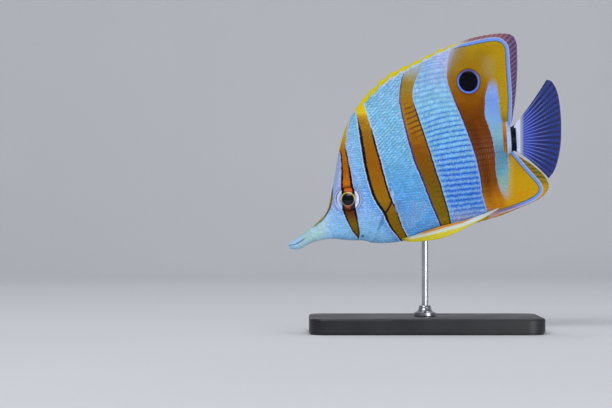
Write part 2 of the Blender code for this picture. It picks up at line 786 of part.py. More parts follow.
def make_stand():
    """A flat base with round corners, a collar on it and a rod up to the belly."""
    half_length, half_width = BASE_LENGTH / 2, BASE_WIDTH / 2
    corners = []
    for quarter, (sx, sy) in enumerate(((1, 1), (-1, 1), (-1, -1), (1, -1))):
        for degrees in np.linspace(0, 90, 7) + quarter * 90:
            turn = math.radians(degrees)
            x = sx * (half_length - BASE_CORNER) + BASE_CORNER * math.cos(turn)
            y = sy * (half_width - BASE_CORNER) + BASE_CORNER * math.sin(turn)
            corners.append((x, y))
    corners = np.array(corners)
    levels = ((0.0, 0.0), (0.0, BASE_HEIGHT - BASE_BEVEL), (BASE_BEVEL, BASE_HEIGHT))
    points = []
    for inset, height in levels:
        shrink = 1 - inset / np.array((half_length, half_width))
        points += [(x, y, height) for x, y in corners * shrink]
    size = len(corners)
    faces = [tuple(range(size - 1, -1, -1)), tuple(range(2 * size, 3 * size))]
    for k in range(len(levels) - 1):
        for j in range(size):
            after = (j + 1) % size
            faces.append((k * size + j, k * size + after, (k + 1) * size + after, (k + 1) * size + j))
    new_object("stand_base", points, faces, "stand_base")
    foot = BASE_HEIGHT + GAP
    inner = ROD_RADIUS + GAP
    ring = (
        (inner, 0),
        (COLLAR_RADIUS, 0),
        (COLLAR_RADIUS, COLLAR_HEIGHT * 0.5),
        (inner + COLLAR_WALL, COLLAR_HEIGHT),
        (inner, COLLAR_HEIGHT),
    )
    collar_ring("stand_collar", ring, foot)
    top = belly_height(0.0) + ROD_SPARE
    profile = ((0, foot), (ROD_RADIUS, foot), (ROD_RADIUS, top), (0, top))
    rod = turned("stand_rod", profile, np.zeros(3), (0, 0, 1), "stand_rod", 20)
    combine(rod, [grown_trunk("trunk_cutter")], "DIFFERENCE")


def belly_height(x):
    """Height of the belly's lowest line at a place along the fish."""
    edge = body_sheet(np.linspace(GILL_ROW, TAIL_ROW, 200), [0.0])[:, 0]
    return float(np.interp(x, edge[:, 0], edge[:, 2]))


def collar_ring(name, ring, foot, segments=28):
    """A turned ring about the rod, from its profile of radius and height."""
    turn = np.arange(segments) * 2 * math.pi / segments
    points = [(r * math.cos(t), r * math.sin(t), foot + h) for r, h in ring for t in turn]
    faces = []
    for k in range(len(ring)):
        for j in range(segments):
            after = (j + 1) % segments
            above = ((k + 1) % len(ring)) * segments
            faces.append((k * segments + j, k * segments + after, above + after, above + j))
    new_object(name, points, faces, "stand_collar")


def main():
    """Makes every node of the model."""
    clear_scene()
    make_jaws()
    make_head()
    make_eyes()
    make_gill_covers()
    make_trunk()
    make_dorsal_fins()
    make_anal_fin()
    make_caudal_fin()
    make_pectoral_fins()
    make_pelvic_fins()
    make_stand()
    for thing in bpy.data.objects:
        thing.data.shade_smooth()
        thing.data.set_sharp_from_angle(angle=math.radians(35))


main()
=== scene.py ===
"""Looks of the life-size copperband butterflyfish on its stand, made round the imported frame.

Laid out as a Blender add-on and run as a script. Lengths in the tables are millimetres in the
frame's own axes: the fish looks towards -X, its left side faces -Y, and Z is up from the floor.
"""

import math

import bpy
import numpy as np
from bpy.props import FloatProperty, FloatVectorProperty, PointerProperty
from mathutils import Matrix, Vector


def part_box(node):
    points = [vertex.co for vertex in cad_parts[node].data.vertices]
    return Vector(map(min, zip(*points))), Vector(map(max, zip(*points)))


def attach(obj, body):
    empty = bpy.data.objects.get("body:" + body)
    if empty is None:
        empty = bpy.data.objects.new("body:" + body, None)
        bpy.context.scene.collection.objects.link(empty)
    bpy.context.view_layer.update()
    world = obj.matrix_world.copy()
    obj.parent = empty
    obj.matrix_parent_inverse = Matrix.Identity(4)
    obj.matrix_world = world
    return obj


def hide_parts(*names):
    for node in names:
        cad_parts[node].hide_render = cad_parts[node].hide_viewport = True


bl_info = {
    "name": "Copperband butterflyfish on a stand",
    "version": (1, 0, 0),
    "blender": (4, 5, 0),
    "location": "View3D > Sidebar > Fish",
    "description": "Builds the skin, scales, fins, eyes and stand of a life-size fish",
    "category": "Object",
}

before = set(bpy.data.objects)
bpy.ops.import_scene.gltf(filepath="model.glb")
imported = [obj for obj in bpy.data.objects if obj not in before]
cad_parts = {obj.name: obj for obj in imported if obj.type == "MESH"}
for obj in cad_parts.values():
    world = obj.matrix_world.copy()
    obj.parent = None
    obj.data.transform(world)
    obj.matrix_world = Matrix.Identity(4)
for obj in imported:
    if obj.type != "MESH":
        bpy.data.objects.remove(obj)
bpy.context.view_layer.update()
MM = 0.001

# Cross lines of the body: lower x, z, upper x, z, bow to the rear, greatest half-width
CROSS_LINES = np.array((
    (-67.6, 41.5, -68.0, 44.4, 0.0, 1.4), (-62.9, 41.5, -64.9, 46.2, 0.0, 1.9),
    (-57.0, 44.4, -60.5, 49.4, 0.0, 2.3), (-51.4, 46.0, -56.2, 52.7, 0.0, 2.8),
    (-45.4, 46.6, -52.4, 56.2, 0.0, 3.7), (-39.9, 46.0, -49.1, 60.5, 0.0, 5.0),
    (-34.9, 45.8, -47.1, 68.0, 1.0, 6.6), (-31.7, 45.8, -45.2, 77.2, 3.0, 7.9),
    (-29.4, 45.5, -43.0, 90.0, 6.0, 8.8), (-27.9, 45.0, -39.4, 102.8, 9.0, 9.4),
    (-26.7, 44.7, -34.4, 110.8, 12.0, 9.9), (-19.4, 44.5, -25.9, 117.2, 10.0, 10.3),
    (-10.9, 45.5, -16.9, 123.0, 7.5, 10.5), (-1.9, 47.4, -6.9, 128.2, 5.0, 10.5),
    (6.6, 49.6, 4.1, 132.2, 3.0, 10.1), (15.1, 51.9, 15.1, 133.5, 1.5, 9.3),
    (23.1, 54.7, 24.1, 131.0, 0.0, 8.3), (29.6, 60.5, 30.6, 125.8, -0.5, 7.1),
    (34.3, 68.5, 35.1, 119.5, -1.0, 5.7), (37.8, 77.5, 38.3, 113.0, -1.0, 4.5),
    (40.8, 85.0, 40.6, 106.5, -0.5, 3.5), (43.8, 90.2, 42.6, 102.5, 0.0, 2.8),
    (46.8, 89.8, 45.4, 104.4, 0.0, 2.3),
))
JAW_ROW = 2.0
CHEEK_ROW = 8.2
GILL_ROW = 10.0
LAST_ROW = 22.0
WIDEST_SHARE = 0.44
ABOVE_ROWS = (7.0, 9.5, 12.0, 19.5, 21.2)
ABOVE_POWERS = (0.56, 0.64, 1.15, 1.15, 0.65)
BELOW_ROWS = (14.0, 17.0, 19.5, 21.2)
BELOW_POWERS = (0.55, 1.1, 1.1, 0.65)
FIN_ROOT_HALF = 1.3

# Margins of the fins in the fish's middle plane: x, z
DORSAL_MARGIN = (
    (-34.9, 110.6), (-31.9, 115.4), (-28.1, 119.8), (-20.1, 127.2), (-14.0, 130.9), (-4.5, 135.3),
    (5.8, 140.3), (15.3, 144.2), (24.9, 147.4), (34.5, 149.1), (39.9, 149.3), (43.7, 148.3),
    (45.6, 145.2), (46.1, 141.0), (46.2, 131.0), (45.4, 118.4), (43.7, 106.3), (42.8, 103.2),
)
ANAL_MARGIN = (
    (20.6, 52.9), (27.7, 55.2), (36.9, 57.8), (46.9, 61.8), (56.4, 66.1), (60.7, 69.8),
    (61.9, 73.6), (59.4, 78.5), (54.4, 83.0), (49.4, 86.5), (45.1, 89.2), (44.2, 89.9),
)
CAUDAL_MARGIN = (
    (60.8, 126.2), (63.3, 125.2), (65.8, 121.0), (67.4, 113.5), (68.1, 103.5), (67.9, 94.5),
    (66.7, 87.0), (64.8, 81.0), (61.9, 76.8),
)
DORSAL_ROWS = (10.0, 21.0)
ANAL_ROWS = (15.6, 21.0)
SPINY_SPAN = (0.02, 0.46)
SOFT_SPAN = (0.463, 0.985)
ANAL_SPAN = (0.03, 0.975)
DORSAL_SPINES = 9
DORSAL_RAYS = 29
ANAL_SPINES = 3
ANAL_RAYS = 20
CAUDAL_RAYS = 17
CAUDAL_BEND = 0.9

# Mouth, gill cover, eye and nostrils
MOUTH_SHARE = 0.58
LIP_SWELL = 0.3
EYE_PLACE = (-38.6, 66.3)
EYE_RADIUS = 6.0
EYE_DOME = 2.2
EYE_BACK = 3.0
EYE_SUNK = 1.2
RIM_RADIUS = 6.75
NOSTRIL_PLACES = ((-44.2, 66.6), (-43.7, 69.2))
NOSTRIL_RADIUS = 0.5

# Paired fins
PECTORAL_ROOT_TOP = (-14.9, 66.2)
PECTORAL_ROOT_LOW = (-14.6, 60.4)
PECTORAL_REACH = 21.0
PECTORAL_LEAST = 0.55
PECTORAL_FIRST = 0.86
PECTORAL_ANGLES = (-4.0, -50.0)
PECTORAL_SPREAD = 36.0
PECTORAL_RAYS = 14
PELVIC_LOW = (
    (-11.6, 45.9), (-6.9, 45.1), (1.7, 45.8), (7.4, 46.8), (13.2, 48.8), (18.9, 51.5),
    (27.6, 56.1), (36.5, 61.5),
)
PELVIC_HIGH = (
    (-11.6, 46.7), (-6.9, 48.0), (-0.6, 50.3), (7.1, 52.8), (13.2, 54.4), (18.9, 55.7),
    (27.7, 58.6), (36.5, 62.1),
)
PELVIC_OUT_SHARES = (0.0, 0.25, 0.5, 1.0)
PELVIC_OUT = (2.2, 5.6, 6.6, 4.0)
PELVIC_LEAN = 0.9
PELVIC_RAYS = 6

# Markings on the side: height z, then the x of the front and of the rear edge
EYE_BAND = (
    (107.0, -43.4, -37.4), (103.0, -43.9, -38.7), (98.5, -44.4, -39.2), (92.5, -43.7, -40.0),
    (90.0, -42.3, -39.3), (87.5, -42.0, -38.6), (80.5, -41.8, -37.3), (73.0, -42.1, -36.0),
    (70.0, -41.9, -35.6), (66.5, -41.9, -35.4), (62.5, -41.7, -34.9), (60.2, -41.0, -34.4),
    (54.0, -38.3, -33.4), (49.8, -35.9, -32.6), (47.7, -33.8, -33.1), (46.0, -32.9, -33.4),
)
SECOND_BAND = (
    (120.0, -33.4, -31.9), (116.0, -34.4, -30.8), (111.5, -34.5, -30.2), (106.7, -33.9, -28.6),
    (97.1, -32.7, -25.5), (89.9, -31.7, -23.6), (80.3, -30.0, -21.1), (75.5, -28.9, -19.9),
    (67.9, -26.4, -17.4), (63.1, -24.0, -15.2), (59.3, -21.1, -13.7), (53.1, -18.2, -11.8),
    (48.3, -14.4, -9.2), (44.0, -10.9, -6.9),
)
THIRD_BAND = (
    (137.0, -6.5, 1.8), (132.4, -9.0, -1.5), (129.9, -10.6, -2.8), (125.7, -12.0, -5.1),
    (120.5, -12.7, -6.5), (115.7, -13.0, -6.2), (111.5, -12.4, -5.0), (106.8, -11.5, -3.3),
    (101.3, -10.2, -1.5), (92.8, -8.3, 1.2), (82.3, -4.8, 4.5), (72.8, -0.9, 7.6),
    (63.2, 2.9, 10.6), (54.6, 6.8, 13.1), (48.0, 9.4, 14.8),
)
REAR_BAND = (
    (151.0, 18.6, 57.6), (146.0, 14.1, 57.6), (141.7, 12.5, 52.6), (134.0, 11.1, 45.1),
    (127.3, 10.7, 37.6), (122.5, 11.7, 30.7), (114.8, 14.7, 29.2), (107.2, 17.7, 29.8),
    (99.5, 20.6, 32.6), (93.8, 22.7, 34.2), (87.1, 24.9, 34.7), (76.6, 27.3, 35.5),
    (69.0, 28.5, 37.4), (63.2, 30.2, 39.1), (57.0, 32.1, 41.6),
)
PALE_BAR = (
    (128.0, 33.1, 34.6), (125.0, 31.8, 35.5), (118.0, 30.2, 36.4), (108.0, 29.7, 37.4),
    (98.5, 33.1, 40.4), (89.0, 35.0, 41.3), (79.5, 35.5, 41.4), (72.0, 37.4, 41.2),
    (68.0, 39.1, 41.6), (65.0, 41.1, 41.8),
)
DORSAL_LINE = (
    (13.6, 142.2), (18.1, 143.5), (20.4, 143.7), (26.8, 145.1), (33.1, 146.2), (37.0, 146.0),
    (39.9, 143.9), (41.0, 140.8), (41.3, 134.3), (42.0, 124.8), (42.4, 115.2), (42.1, 105.7),
    (41.9, 103.5),
)
ANAL_LINE = (
    (43.0, 91.2), (43.8, 89.5), (49.8, 82.3), (55.0, 76.6), (57.0, 74.0), (57.9, 71.0),
    (55.8, 67.8), (50.8, 65.0), (42.1, 61.8), (36.4, 59.9), (31.6, 57.8),
)
GILL_LINE = (
    (-19.2, 74.0), (-17.7, 70.0), (-17.1, 65.2), (-18.7, 61.5), (-21.1, 57.9), (-22.1, 55.0),
    (-23.6, 51.6), (-24.9, 50.5),
)
SNOUT_STRIPE = (
    (-47.0, 73.0), (-47.2, 69.2), (-47.5, 66.0), (-48.7, 61.5), (-51.6, 56.9), (-53.9, 54.9),
    (-56.7, 52.2),
)
EYESPOT = (21.55, 125.15)
EYESPOT_HALF = (4.8, 5.15)

# Slant of the dotted mesh, in radians a millimetre along and up
MESH_ALONG = -3.2
MESH_UP = 2.9

# Bands by the name of the field that keeps the distances from their edges
BANDS = {
    "eye_band": EYE_BAND, "second_band": SECOND_BAND, "third_band": THIRD_BAND,
    "rear_band": REAR_BAND, "pale_bar": PALE_BAR,
}

# Heights in mm that a colour by height can hold, and what the anal fin's ray numbers start at
STOP_HEIGHTS = (40.0, 150.0)
ANAL_COUNT = 50

# Sides of paired pieces, as the sign of y, and what turns one side into the other
SIDES = ((-1, "left"), (1, "right"))
MIRROR = np.array((1.0, -1.0, 1.0))

# Where scales lie: cross lines and shares of the flank, the gill cover and the gill opening
FLANK_ROWS = (10.05, 21.6)
COVER_ROW = 7.6
COVER_SHARE = 0.56
OPENING_ROW = 9.98
SEAM = 0.6

# Stand and studio, in mm, and the least angle of a crisp corner
FOOT_INSET = 0.8
FOOT_HEIGHT = 0.7
SHARP_ANGLE = math.radians(40)
FLOOR_FRONT = -2200.0
WALL_Y = 1400.0
WALL_TOP = 2600.0
SWEEP = 500.0


def smooth_rows(rows, at):
    """Rows read at fractional places on the cubic that passes through every row.

    Catmull-Rom: half of 2b + (c-a)t + (2a-5b+4c-d)t^2 + (3b-a-3c+d)t^3 between rows b and c.
    """
    rows = np.asarray(rows, float)
    padded = np.vstack((2 * rows[0] - rows[1], rows, 2 * rows[-1] - rows[-2]))
    at = np.clip(np.asarray(at, float), 0.0, len(rows) - 1.0)
    first = np.minimum(at.astype(int), len(rows) - 2)
    part = (at - first)[..., None]
    before, start, end, after = (padded[first + step] for step in range(4))
    square = 2 * before - 5 * start + 4 * end - after
    cube = 3 * start - before - 3 * end + after
    return 0.5 * (2 * start + (end - before) * part + square * part**2 + cube * part**3)


def ramp(value, low, high):
    """Smooth step from 0 at low to 1 at high: 3s^2 - 2s^3 of the share s between them."""
    share = np.clip((np.asarray(value, float) - low) / (high - low), 0.0, 1.0)
    return share * share * (3 - 2 * share)


def hump(value, middle, width):
    """Bell of height 1 round a middle: e to the power -((value - middle) / width)^2."""
    return np.exp(-(((np.asarray(value, float) - middle) / width) ** 2))


def curve_through(points, samples=600):
    """A function that reads a smooth curve through points at shares of its length."""
    line = smooth_rows(points, np.linspace(0, len(points) - 1, samples))
    reach = np.concatenate(([0.0], np.cumsum(np.linalg.norm(np.diff(line, axis=0), axis=1))))
    reach /= reach[-1]

    def read(share):
        return np.stack([np.interp(share, reach, line[:, k]) for k in range(line.shape[1])], -1)

    return read


def body_width(rows, shares, keel, back):
    """Half-width on cross lines: root of (half * lens)^2 + edge^2.

    The lens is (1 - d^2)^power of the distance d from the widest share, and the edge runs
    from the keel's half-width to the back's.
    """
    half = smooth_rows(CROSS_LINES, rows)[..., 5]
    below = (WIDEST_SHARE - shares) / WIDEST_SHARE
    above = (shares - WIDEST_SHARE) / (1 - WIDEST_SHARE)
    lens = np.where(
        shares < WIDEST_SHARE,
        np.clip(1 - below**2, 0, 1) ** np.interp(rows, BELOW_ROWS, BELOW_POWERS),
        np.clip(1 - above**2, 0, 1) ** np.interp(rows, ABOVE_ROWS, ABOVE_POWERS),
    )
    edge = keel * (1 - shares) + back * shares
    return np.sqrt((half * lens) ** 2 + edge**2)


def body_side(rows, shares):
    """Places x, z in the side view: straight cross lines with a bow of 4s(1-s) to the rear."""
    low_x, low_z, high_x, high_z, bow, _ = np.moveaxis(smooth_rows(CROSS_LINES, rows), -1, 0)
    x = low_x * (1 - shares) + high_x * shares + bow * 4 * shares * (1 - shares)
    return x, low_z * (1 - shares) + high_z * shares


def fin_roots(rows):
    """Half-width of the skin along the keel and the back: nothing, and more under a fin."""
    keel = FIN_ROOT_HALF * ramp(rows, ANAL_ROWS[0], 17.0) * (1 - ramp(rows, 20.0, ANAL_ROWS[1]))
    back = FIN_ROOT_HALF * ramp(rows, DORSAL_ROWS[0], 11.5) * (1 - ramp(rows, 19.8, 21.0))
    return keel, back


def skin_width(rows, shares, coat=0.0):
    """Half-width of the skin with its own relief, at any cross line and share.

    The body's half-width less the coat's depth, plus lips, a mouth groove, the gill cover
    and its edge, a groove behind the cheek, the rim and socket of the eye and the nostrils.
    """
    rows, shares = np.broadcast_arrays(np.asarray(rows, float), np.asarray(shares, float))
    keel, back = fin_roots(rows)
    width = body_width(rows, shares, keel, back)
    bare = 1 - np.clip(4 * shares * (1 - shares), 0, 1) ** 0.2
    width = width - np.minimum(width, coat * ramp(rows, 5.0, 7.0) * (1 - bare))
    x, z = body_side(rows, shares)
    inner = np.clip(width / 1.5, 0, 1)
    relief = LIP_SWELL * hump(shares, MOUTH_SHARE, 0.22) * (1 - ramp(rows, 0.45, 0.9))
    within = ramp(shares, 0.04, 0.08) * (1 - ramp(shares, 0.5, 0.545))
    relief = relief + 0.42 * ramp(rows, CHEEK_ROW, 9.85) * (1 - ramp(rows, 9.9, 10.06)) * within
    relief = relief - 0.3 * hump(rows, 10.12, 0.09) * within
    cheek = ramp(shares, 0.1, 0.2) * (1 - ramp(shares, 0.38, 0.5))
    relief = relief - 0.28 * hump(rows, 8.32, 0.11) * cheek
    far = np.hypot(x - EYE_PLACE[0], z - EYE_PLACE[1])
    relief = relief + 0.4 * hump(far, RIM_RADIUS + 0.1, 0.5)
    relief = relief - 2.6 * (1 - ramp(far, EYE_RADIUS - 0.25, RIM_RADIUS - 0.25))
    for place in NOSTRIL_PLACES:
        near = np.hypot(x - place[0], z - place[1])
        relief = relief + 0.22 * hump(near, NOSTRIL_RADIUS + 0.25, 0.22)
        relief = relief - 0.5 * (1 - ramp(near, 0.1, NOSTRIL_RADIUS + 0.1))
    width = np.maximum(width + relief * inner, 0.0)
    rounding = np.interp(rows, (0.0, 0.12, 0.3), (0.55, 0.86, 1.0))
    slit = 0.8 * hump(shares, MOUTH_SHARE, 0.035) * (1 - ramp(rows, 1.5, JAW_ROW))
    return width * rounding * (1 - slit)


def skin_side(rows, shares):
    """Places x, z of the skin in the side view, with the mouth's notch drawn back."""
    rows, shares = np.broadcast_arrays(np.asarray(rows, float), np.asarray(shares, float))
    x, z = body_side(rows, shares)
    notch = 0.5 * hump(shares, MOUTH_SHARE, 0.07) * (1 - ramp(rows, 0.0, 0.5))
    return x + notch, z


def edge_line(rows, upper):
    """Cross lines between two, and the length of the body's upper or lower edge up to each."""
    numbers = np.linspace(rows[0], rows[1], 400)
    x, z = body_side(numbers, np.full(400, 1.0 if upper else 0.0))
    return numbers, np.concatenate(([0.0], np.cumsum(np.hypot(np.diff(x), np.diff(z)))))


def rows_by_length(rows, count):
    """Cross lines at equal lengths along the upper edge of the body."""
    numbers, reach = edge_line(rows, True)
    return np.interp(np.linspace(0, reach[-1], count), reach, numbers)


def share_of_edge(at, rows, upper):
    """Share of an edge's length that lies before given cross lines."""
    numbers, reach = edge_line(rows, upper)
    return np.interp(at, numbers, reach / reach[-1])


def ray_count(share, spans):
    """Rays passed by a share of a fin's length: whole numbers lie in the valleys."""
    places = [0.0]
    counts = [0.0]
    for start, end, rays in spans:
        places += [start, end]
        counts += [counts[-1], counts[-1] + rays]
    return np.interp(share, places, counts)


DORSAL_SPANS = ((*SPINY_SPAN, DORSAL_SPINES), (*SOFT_SPAN, DORSAL_RAYS))
ANAL_SPLIT = ANAL_SPAN[0] + (ANAL_SPAN[1] - ANAL_SPAN[0]) * ANAL_SPINES / (ANAL_SPINES + ANAL_RAYS)
ANAL_SPANS = ((ANAL_SPAN[0], ANAL_SPLIT, ANAL_SPINES), (ANAL_SPLIT, ANAL_SPAN[1], ANAL_RAYS))


class MiddleFin:
    """The dorsal or anal fin: columns from the body's edge to a margin, read anywhere.

    A column is longer by a bell at the tip of a spine and shorter in the notch between two.
    """

    def __init__(self, rows, upper, margin, spans, spines):
        self.rows = rows
        self.upper = upper
        self.margin = curve_through(margin)
        self.spans = spans
        self.spines = spines

    def side(self, at, step):
        """Places x, z: root + (margin - root) * step, at cross lines and steps to the margin."""
        at, step = np.broadcast_arrays(np.asarray(at, float), np.asarray(step, float))
        x, z = body_side(at, np.full(at.shape, 1.0 if self.upper else 0.0))
        end = self.margin(share_of_edge(at, self.rows, self.upper))
        length = np.hypot(end[..., 0] - x, end[..., 1] - z)
        rays = self.rays(at)
        phase = rays % 1.0
        spine = 0.75 * hump(phase, 0.5, 0.14) - 0.45 * (1 - hump(phase, 0.5, 0.3))
        soft = -0.2 * (1 - hump(phase, 0.5, 0.35))
        tip = np.where(rays < self.spines, spine, soft) * np.clip(length / 4 - 0.5, 0, 1)
        step = step * (1 + tip / np.maximum(length, 1.0))
        return x + (end[..., 0] - x) * step, z + (end[..., 1] - z) * step

    def rays(self, at):
        """Number of rays before given cross lines."""
        return ray_count(share_of_edge(at, self.rows, self.upper), self.spans)

    def length(self, at):
        """Length in mm of the fin's columns at given cross lines."""
        x0, z0 = self.side(at, 0.0)
        x1, z1 = self.side(at, 1.0)
        return np.hypot(x1 - x0, z1 - z0)

    def width(self, at, step, edge=0.2, coat=0.0):
        """Half-thickness: edge + (root - edge)(1-step)^1.5 + ridges, rounded at the margin."""
        at, step = np.broadcast_arrays(np.asarray(at, float), np.asarray(step, float))
        keel, back = fin_roots(at)
        root = back if self.upper else keel
        rays = self.rays(at)
        height = np.where(rays < self.spines, 0.34, 0.17)
        ridge = height * hump(rays % 1.0, 0.5, 0.2) * np.minimum(1, step / 0.15)
        ridge = ridge * (1 - 0.55 * step)
        thin = edge + (np.maximum(root, edge) - edge) * (1 - step) ** 1.5
        full = thin + ridge * np.clip(root / FIN_ROOT_HALF, 0, 1)
        full = full - np.minimum(coat, 0.5 * full) * np.minimum(1, step / 0.1)
        length = self.length(at)
        tip = np.clip((1 - step) * length / 0.5, 0, 1)
        share = share_of_edge(at, self.rows, self.upper)
        ends = ramp(share, 0.0, 0.012) * (1 - ramp(share, 0.99, 1.0))
        rounded = full * np.sqrt(1 - (1 - tip) ** 2) * ends
        return root + (rounded - root) * ramp(step, 0.0, 0.04)


DORSAL = MiddleFin(DORSAL_ROWS, True, DORSAL_MARGIN, DORSAL_SPANS, DORSAL_SPINES)
ANAL = MiddleFin(ANAL_ROWS, False, ANAL_MARGIN, ANAL_SPANS, ANAL_SPINES)


def grid_faces(count, width, start=0):
    """Four-sided faces of count lines of width points, numbered from start."""
    line, point = np.meshgrid(np.arange(count - 1), np.arange(width - 1), indexing="ij")
    corner = (start + line * width + point).ravel()
    return np.stack((corner, corner + width, corner + width + 1, corner + 1), axis=-1)


def faced_out(points, faces):
    """Faces of a closed form, turned over where its signed volume is below nothing."""
    corners = points[faces] - points.mean(axis=0)
    volume = 0.0
    for k in range(1, faces.shape[1] - 1):
        volume += (corners[:, 0] * np.cross(corners[:, k], corners[:, k + 1])).sum()
    return faces[:, ::-1] if volume < 0 else faces


def joined(near, far, apart, faces):
    """Two sheets of points with the same faces, joined wherever a point isn't apart."""
    number = np.where(apart, np.cumsum(apart) - 1 + len(near), np.arange(len(near)))
    every = np.concatenate((faces, number[faces][:, ::-1]))
    return np.concatenate((near, far[apart])), every


def new_piece(name, points, faces, material, slot, fields=None, replaces=(), uv=None):
    """Makes a piece from points in mm and same-sized faces, with values on its points.

    A field of three columns becomes a vector attribute, one of a single column a number.
    """
    mesh = bpy.data.meshes.new(name)
    faces = np.asarray(faces, np.int32)
    mesh.vertices.add(len(points))
    mesh.vertices.foreach_set("co", (np.asarray(points) * MM).astype(np.float32).ravel())
    mesh.loops.add(faces.size)
    mesh.loops.foreach_set("vertex_index", faces.ravel())
    mesh.polygons.add(len(faces))
    starts = np.arange(0, faces.size, faces.shape[1], dtype=np.int32)
    mesh.polygons.foreach_set("loop_start", starts)
    mesh.update(calc_edges=True)
    for key, values in (fields or {}).items():
        values = np.asarray(values, np.float32)
        kind, member = ("FLOAT_VECTOR", "vector") if values.ndim == 2 else ("FLOAT", "value")
        layer = mesh.attributes.new(key, kind, "POINT")
        layer.data.foreach_set(member, values.ravel())
    if uv is not None:
        layer = mesh.uv_layers.new(name="OFBake")
        layer.data.foreach_set("uv", uv[faces.ravel()].astype(np.float32).ravel())
    mesh.validate()
    mesh.shade_smooth()
    mesh.materials.append(material)
    piece = bpy.data.objects.new(name, mesh)
    bpy.context.scene.collection.objects.link(piece)
    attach(piece, "root")
    if replaces:
        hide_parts(*replaces)
    return piece


def band_field(table, x, z):
    """Distances in mm behind the front edge and before the rear edge of a band.

    Each is the step along x divided by root(1 + slope^2) of its edge, so it is square to it.
    """
    table = np.array(table)[::-1]
    heights = np.linspace(table[0, 0], table[-1, 0], 300)
    pane = np.hanning(23)
    pane /= pane.sum()
    distances = []
    for column, sign in ((1, 1.0), (2, -1.0)):
        edge = np.interp(heights, table[:, 0], table[:, column])
        edge = np.convolve(np.pad(edge, 11, mode="edge"), pane, mode="valid")
        slope = np.interp(z, heights, np.gradient(edge, heights))
        distances.append(sign * (x - np.interp(z, heights, edge)) / np.sqrt(1 + slope**2))
    return distances


def line_field(points, x, z):
    """Distance in mm from a smooth open line, positive on its left side, and share along it."""
    share = np.linspace(0, 1, 140)
    line = curve_through(points)(share)
    ahead = np.gradient(line, axis=0)
    ahead /= np.linalg.norm(ahead, axis=1, keepdims=True)
    distance = np.empty(len(x))
    along = np.empty(len(x))
    for chunk in np.array_split(np.arange(len(x)), len(x) // 20000 + 1):
        away_x = x[chunk, None] - line[:, 0]
        away_z = z[chunk, None] - line[:, 1]
        far = away_x**2 + away_z**2
        near = far.argmin(axis=1)
        pick = np.arange(len(chunk))
        cross = ahead[near, 0] * away_z[pick, near] - ahead[near, 1] * away_x[pick, near]
        distance[chunk] = np.sqrt(far[pick, near]) * np.where(cross < 0, -1.0, 1.0)
        along[chunk] = share[near]
    return distance, along


def marking_fields(x, z, step, rays, to_margin):
    """The distances in mm from which every marking is painted, for skin and scales alike."""
    lines = (SNOUT_STRIPE, GILL_LINE, DORSAL_LINE, ANAL_LINE)
    away, (_, gill_along, dorsal_along, anal_along) = zip(*(line_field(k, x, z) for k in lines))
    spot = np.hypot((x - EYESPOT[0]) / EYESPOT_HALF[0], (z - EYESPOT[1]) / EYESPOT_HALF[1])
    fields = {}
    others = (*away, (spot - 1) * EYESPOT_HALF[0])
    for (name, table), other in zip(BANDS.items(), others):
        front, rear = band_field(table, x, z)
        fields[name] = np.stack((front, rear, other), axis=-1)
    fields["fin"] = np.stack((step, rays, to_margin), axis=-1)
    fields["line_ends"] = np.stack((dorsal_along, anal_along, gill_along), axis=-1)
    return fields


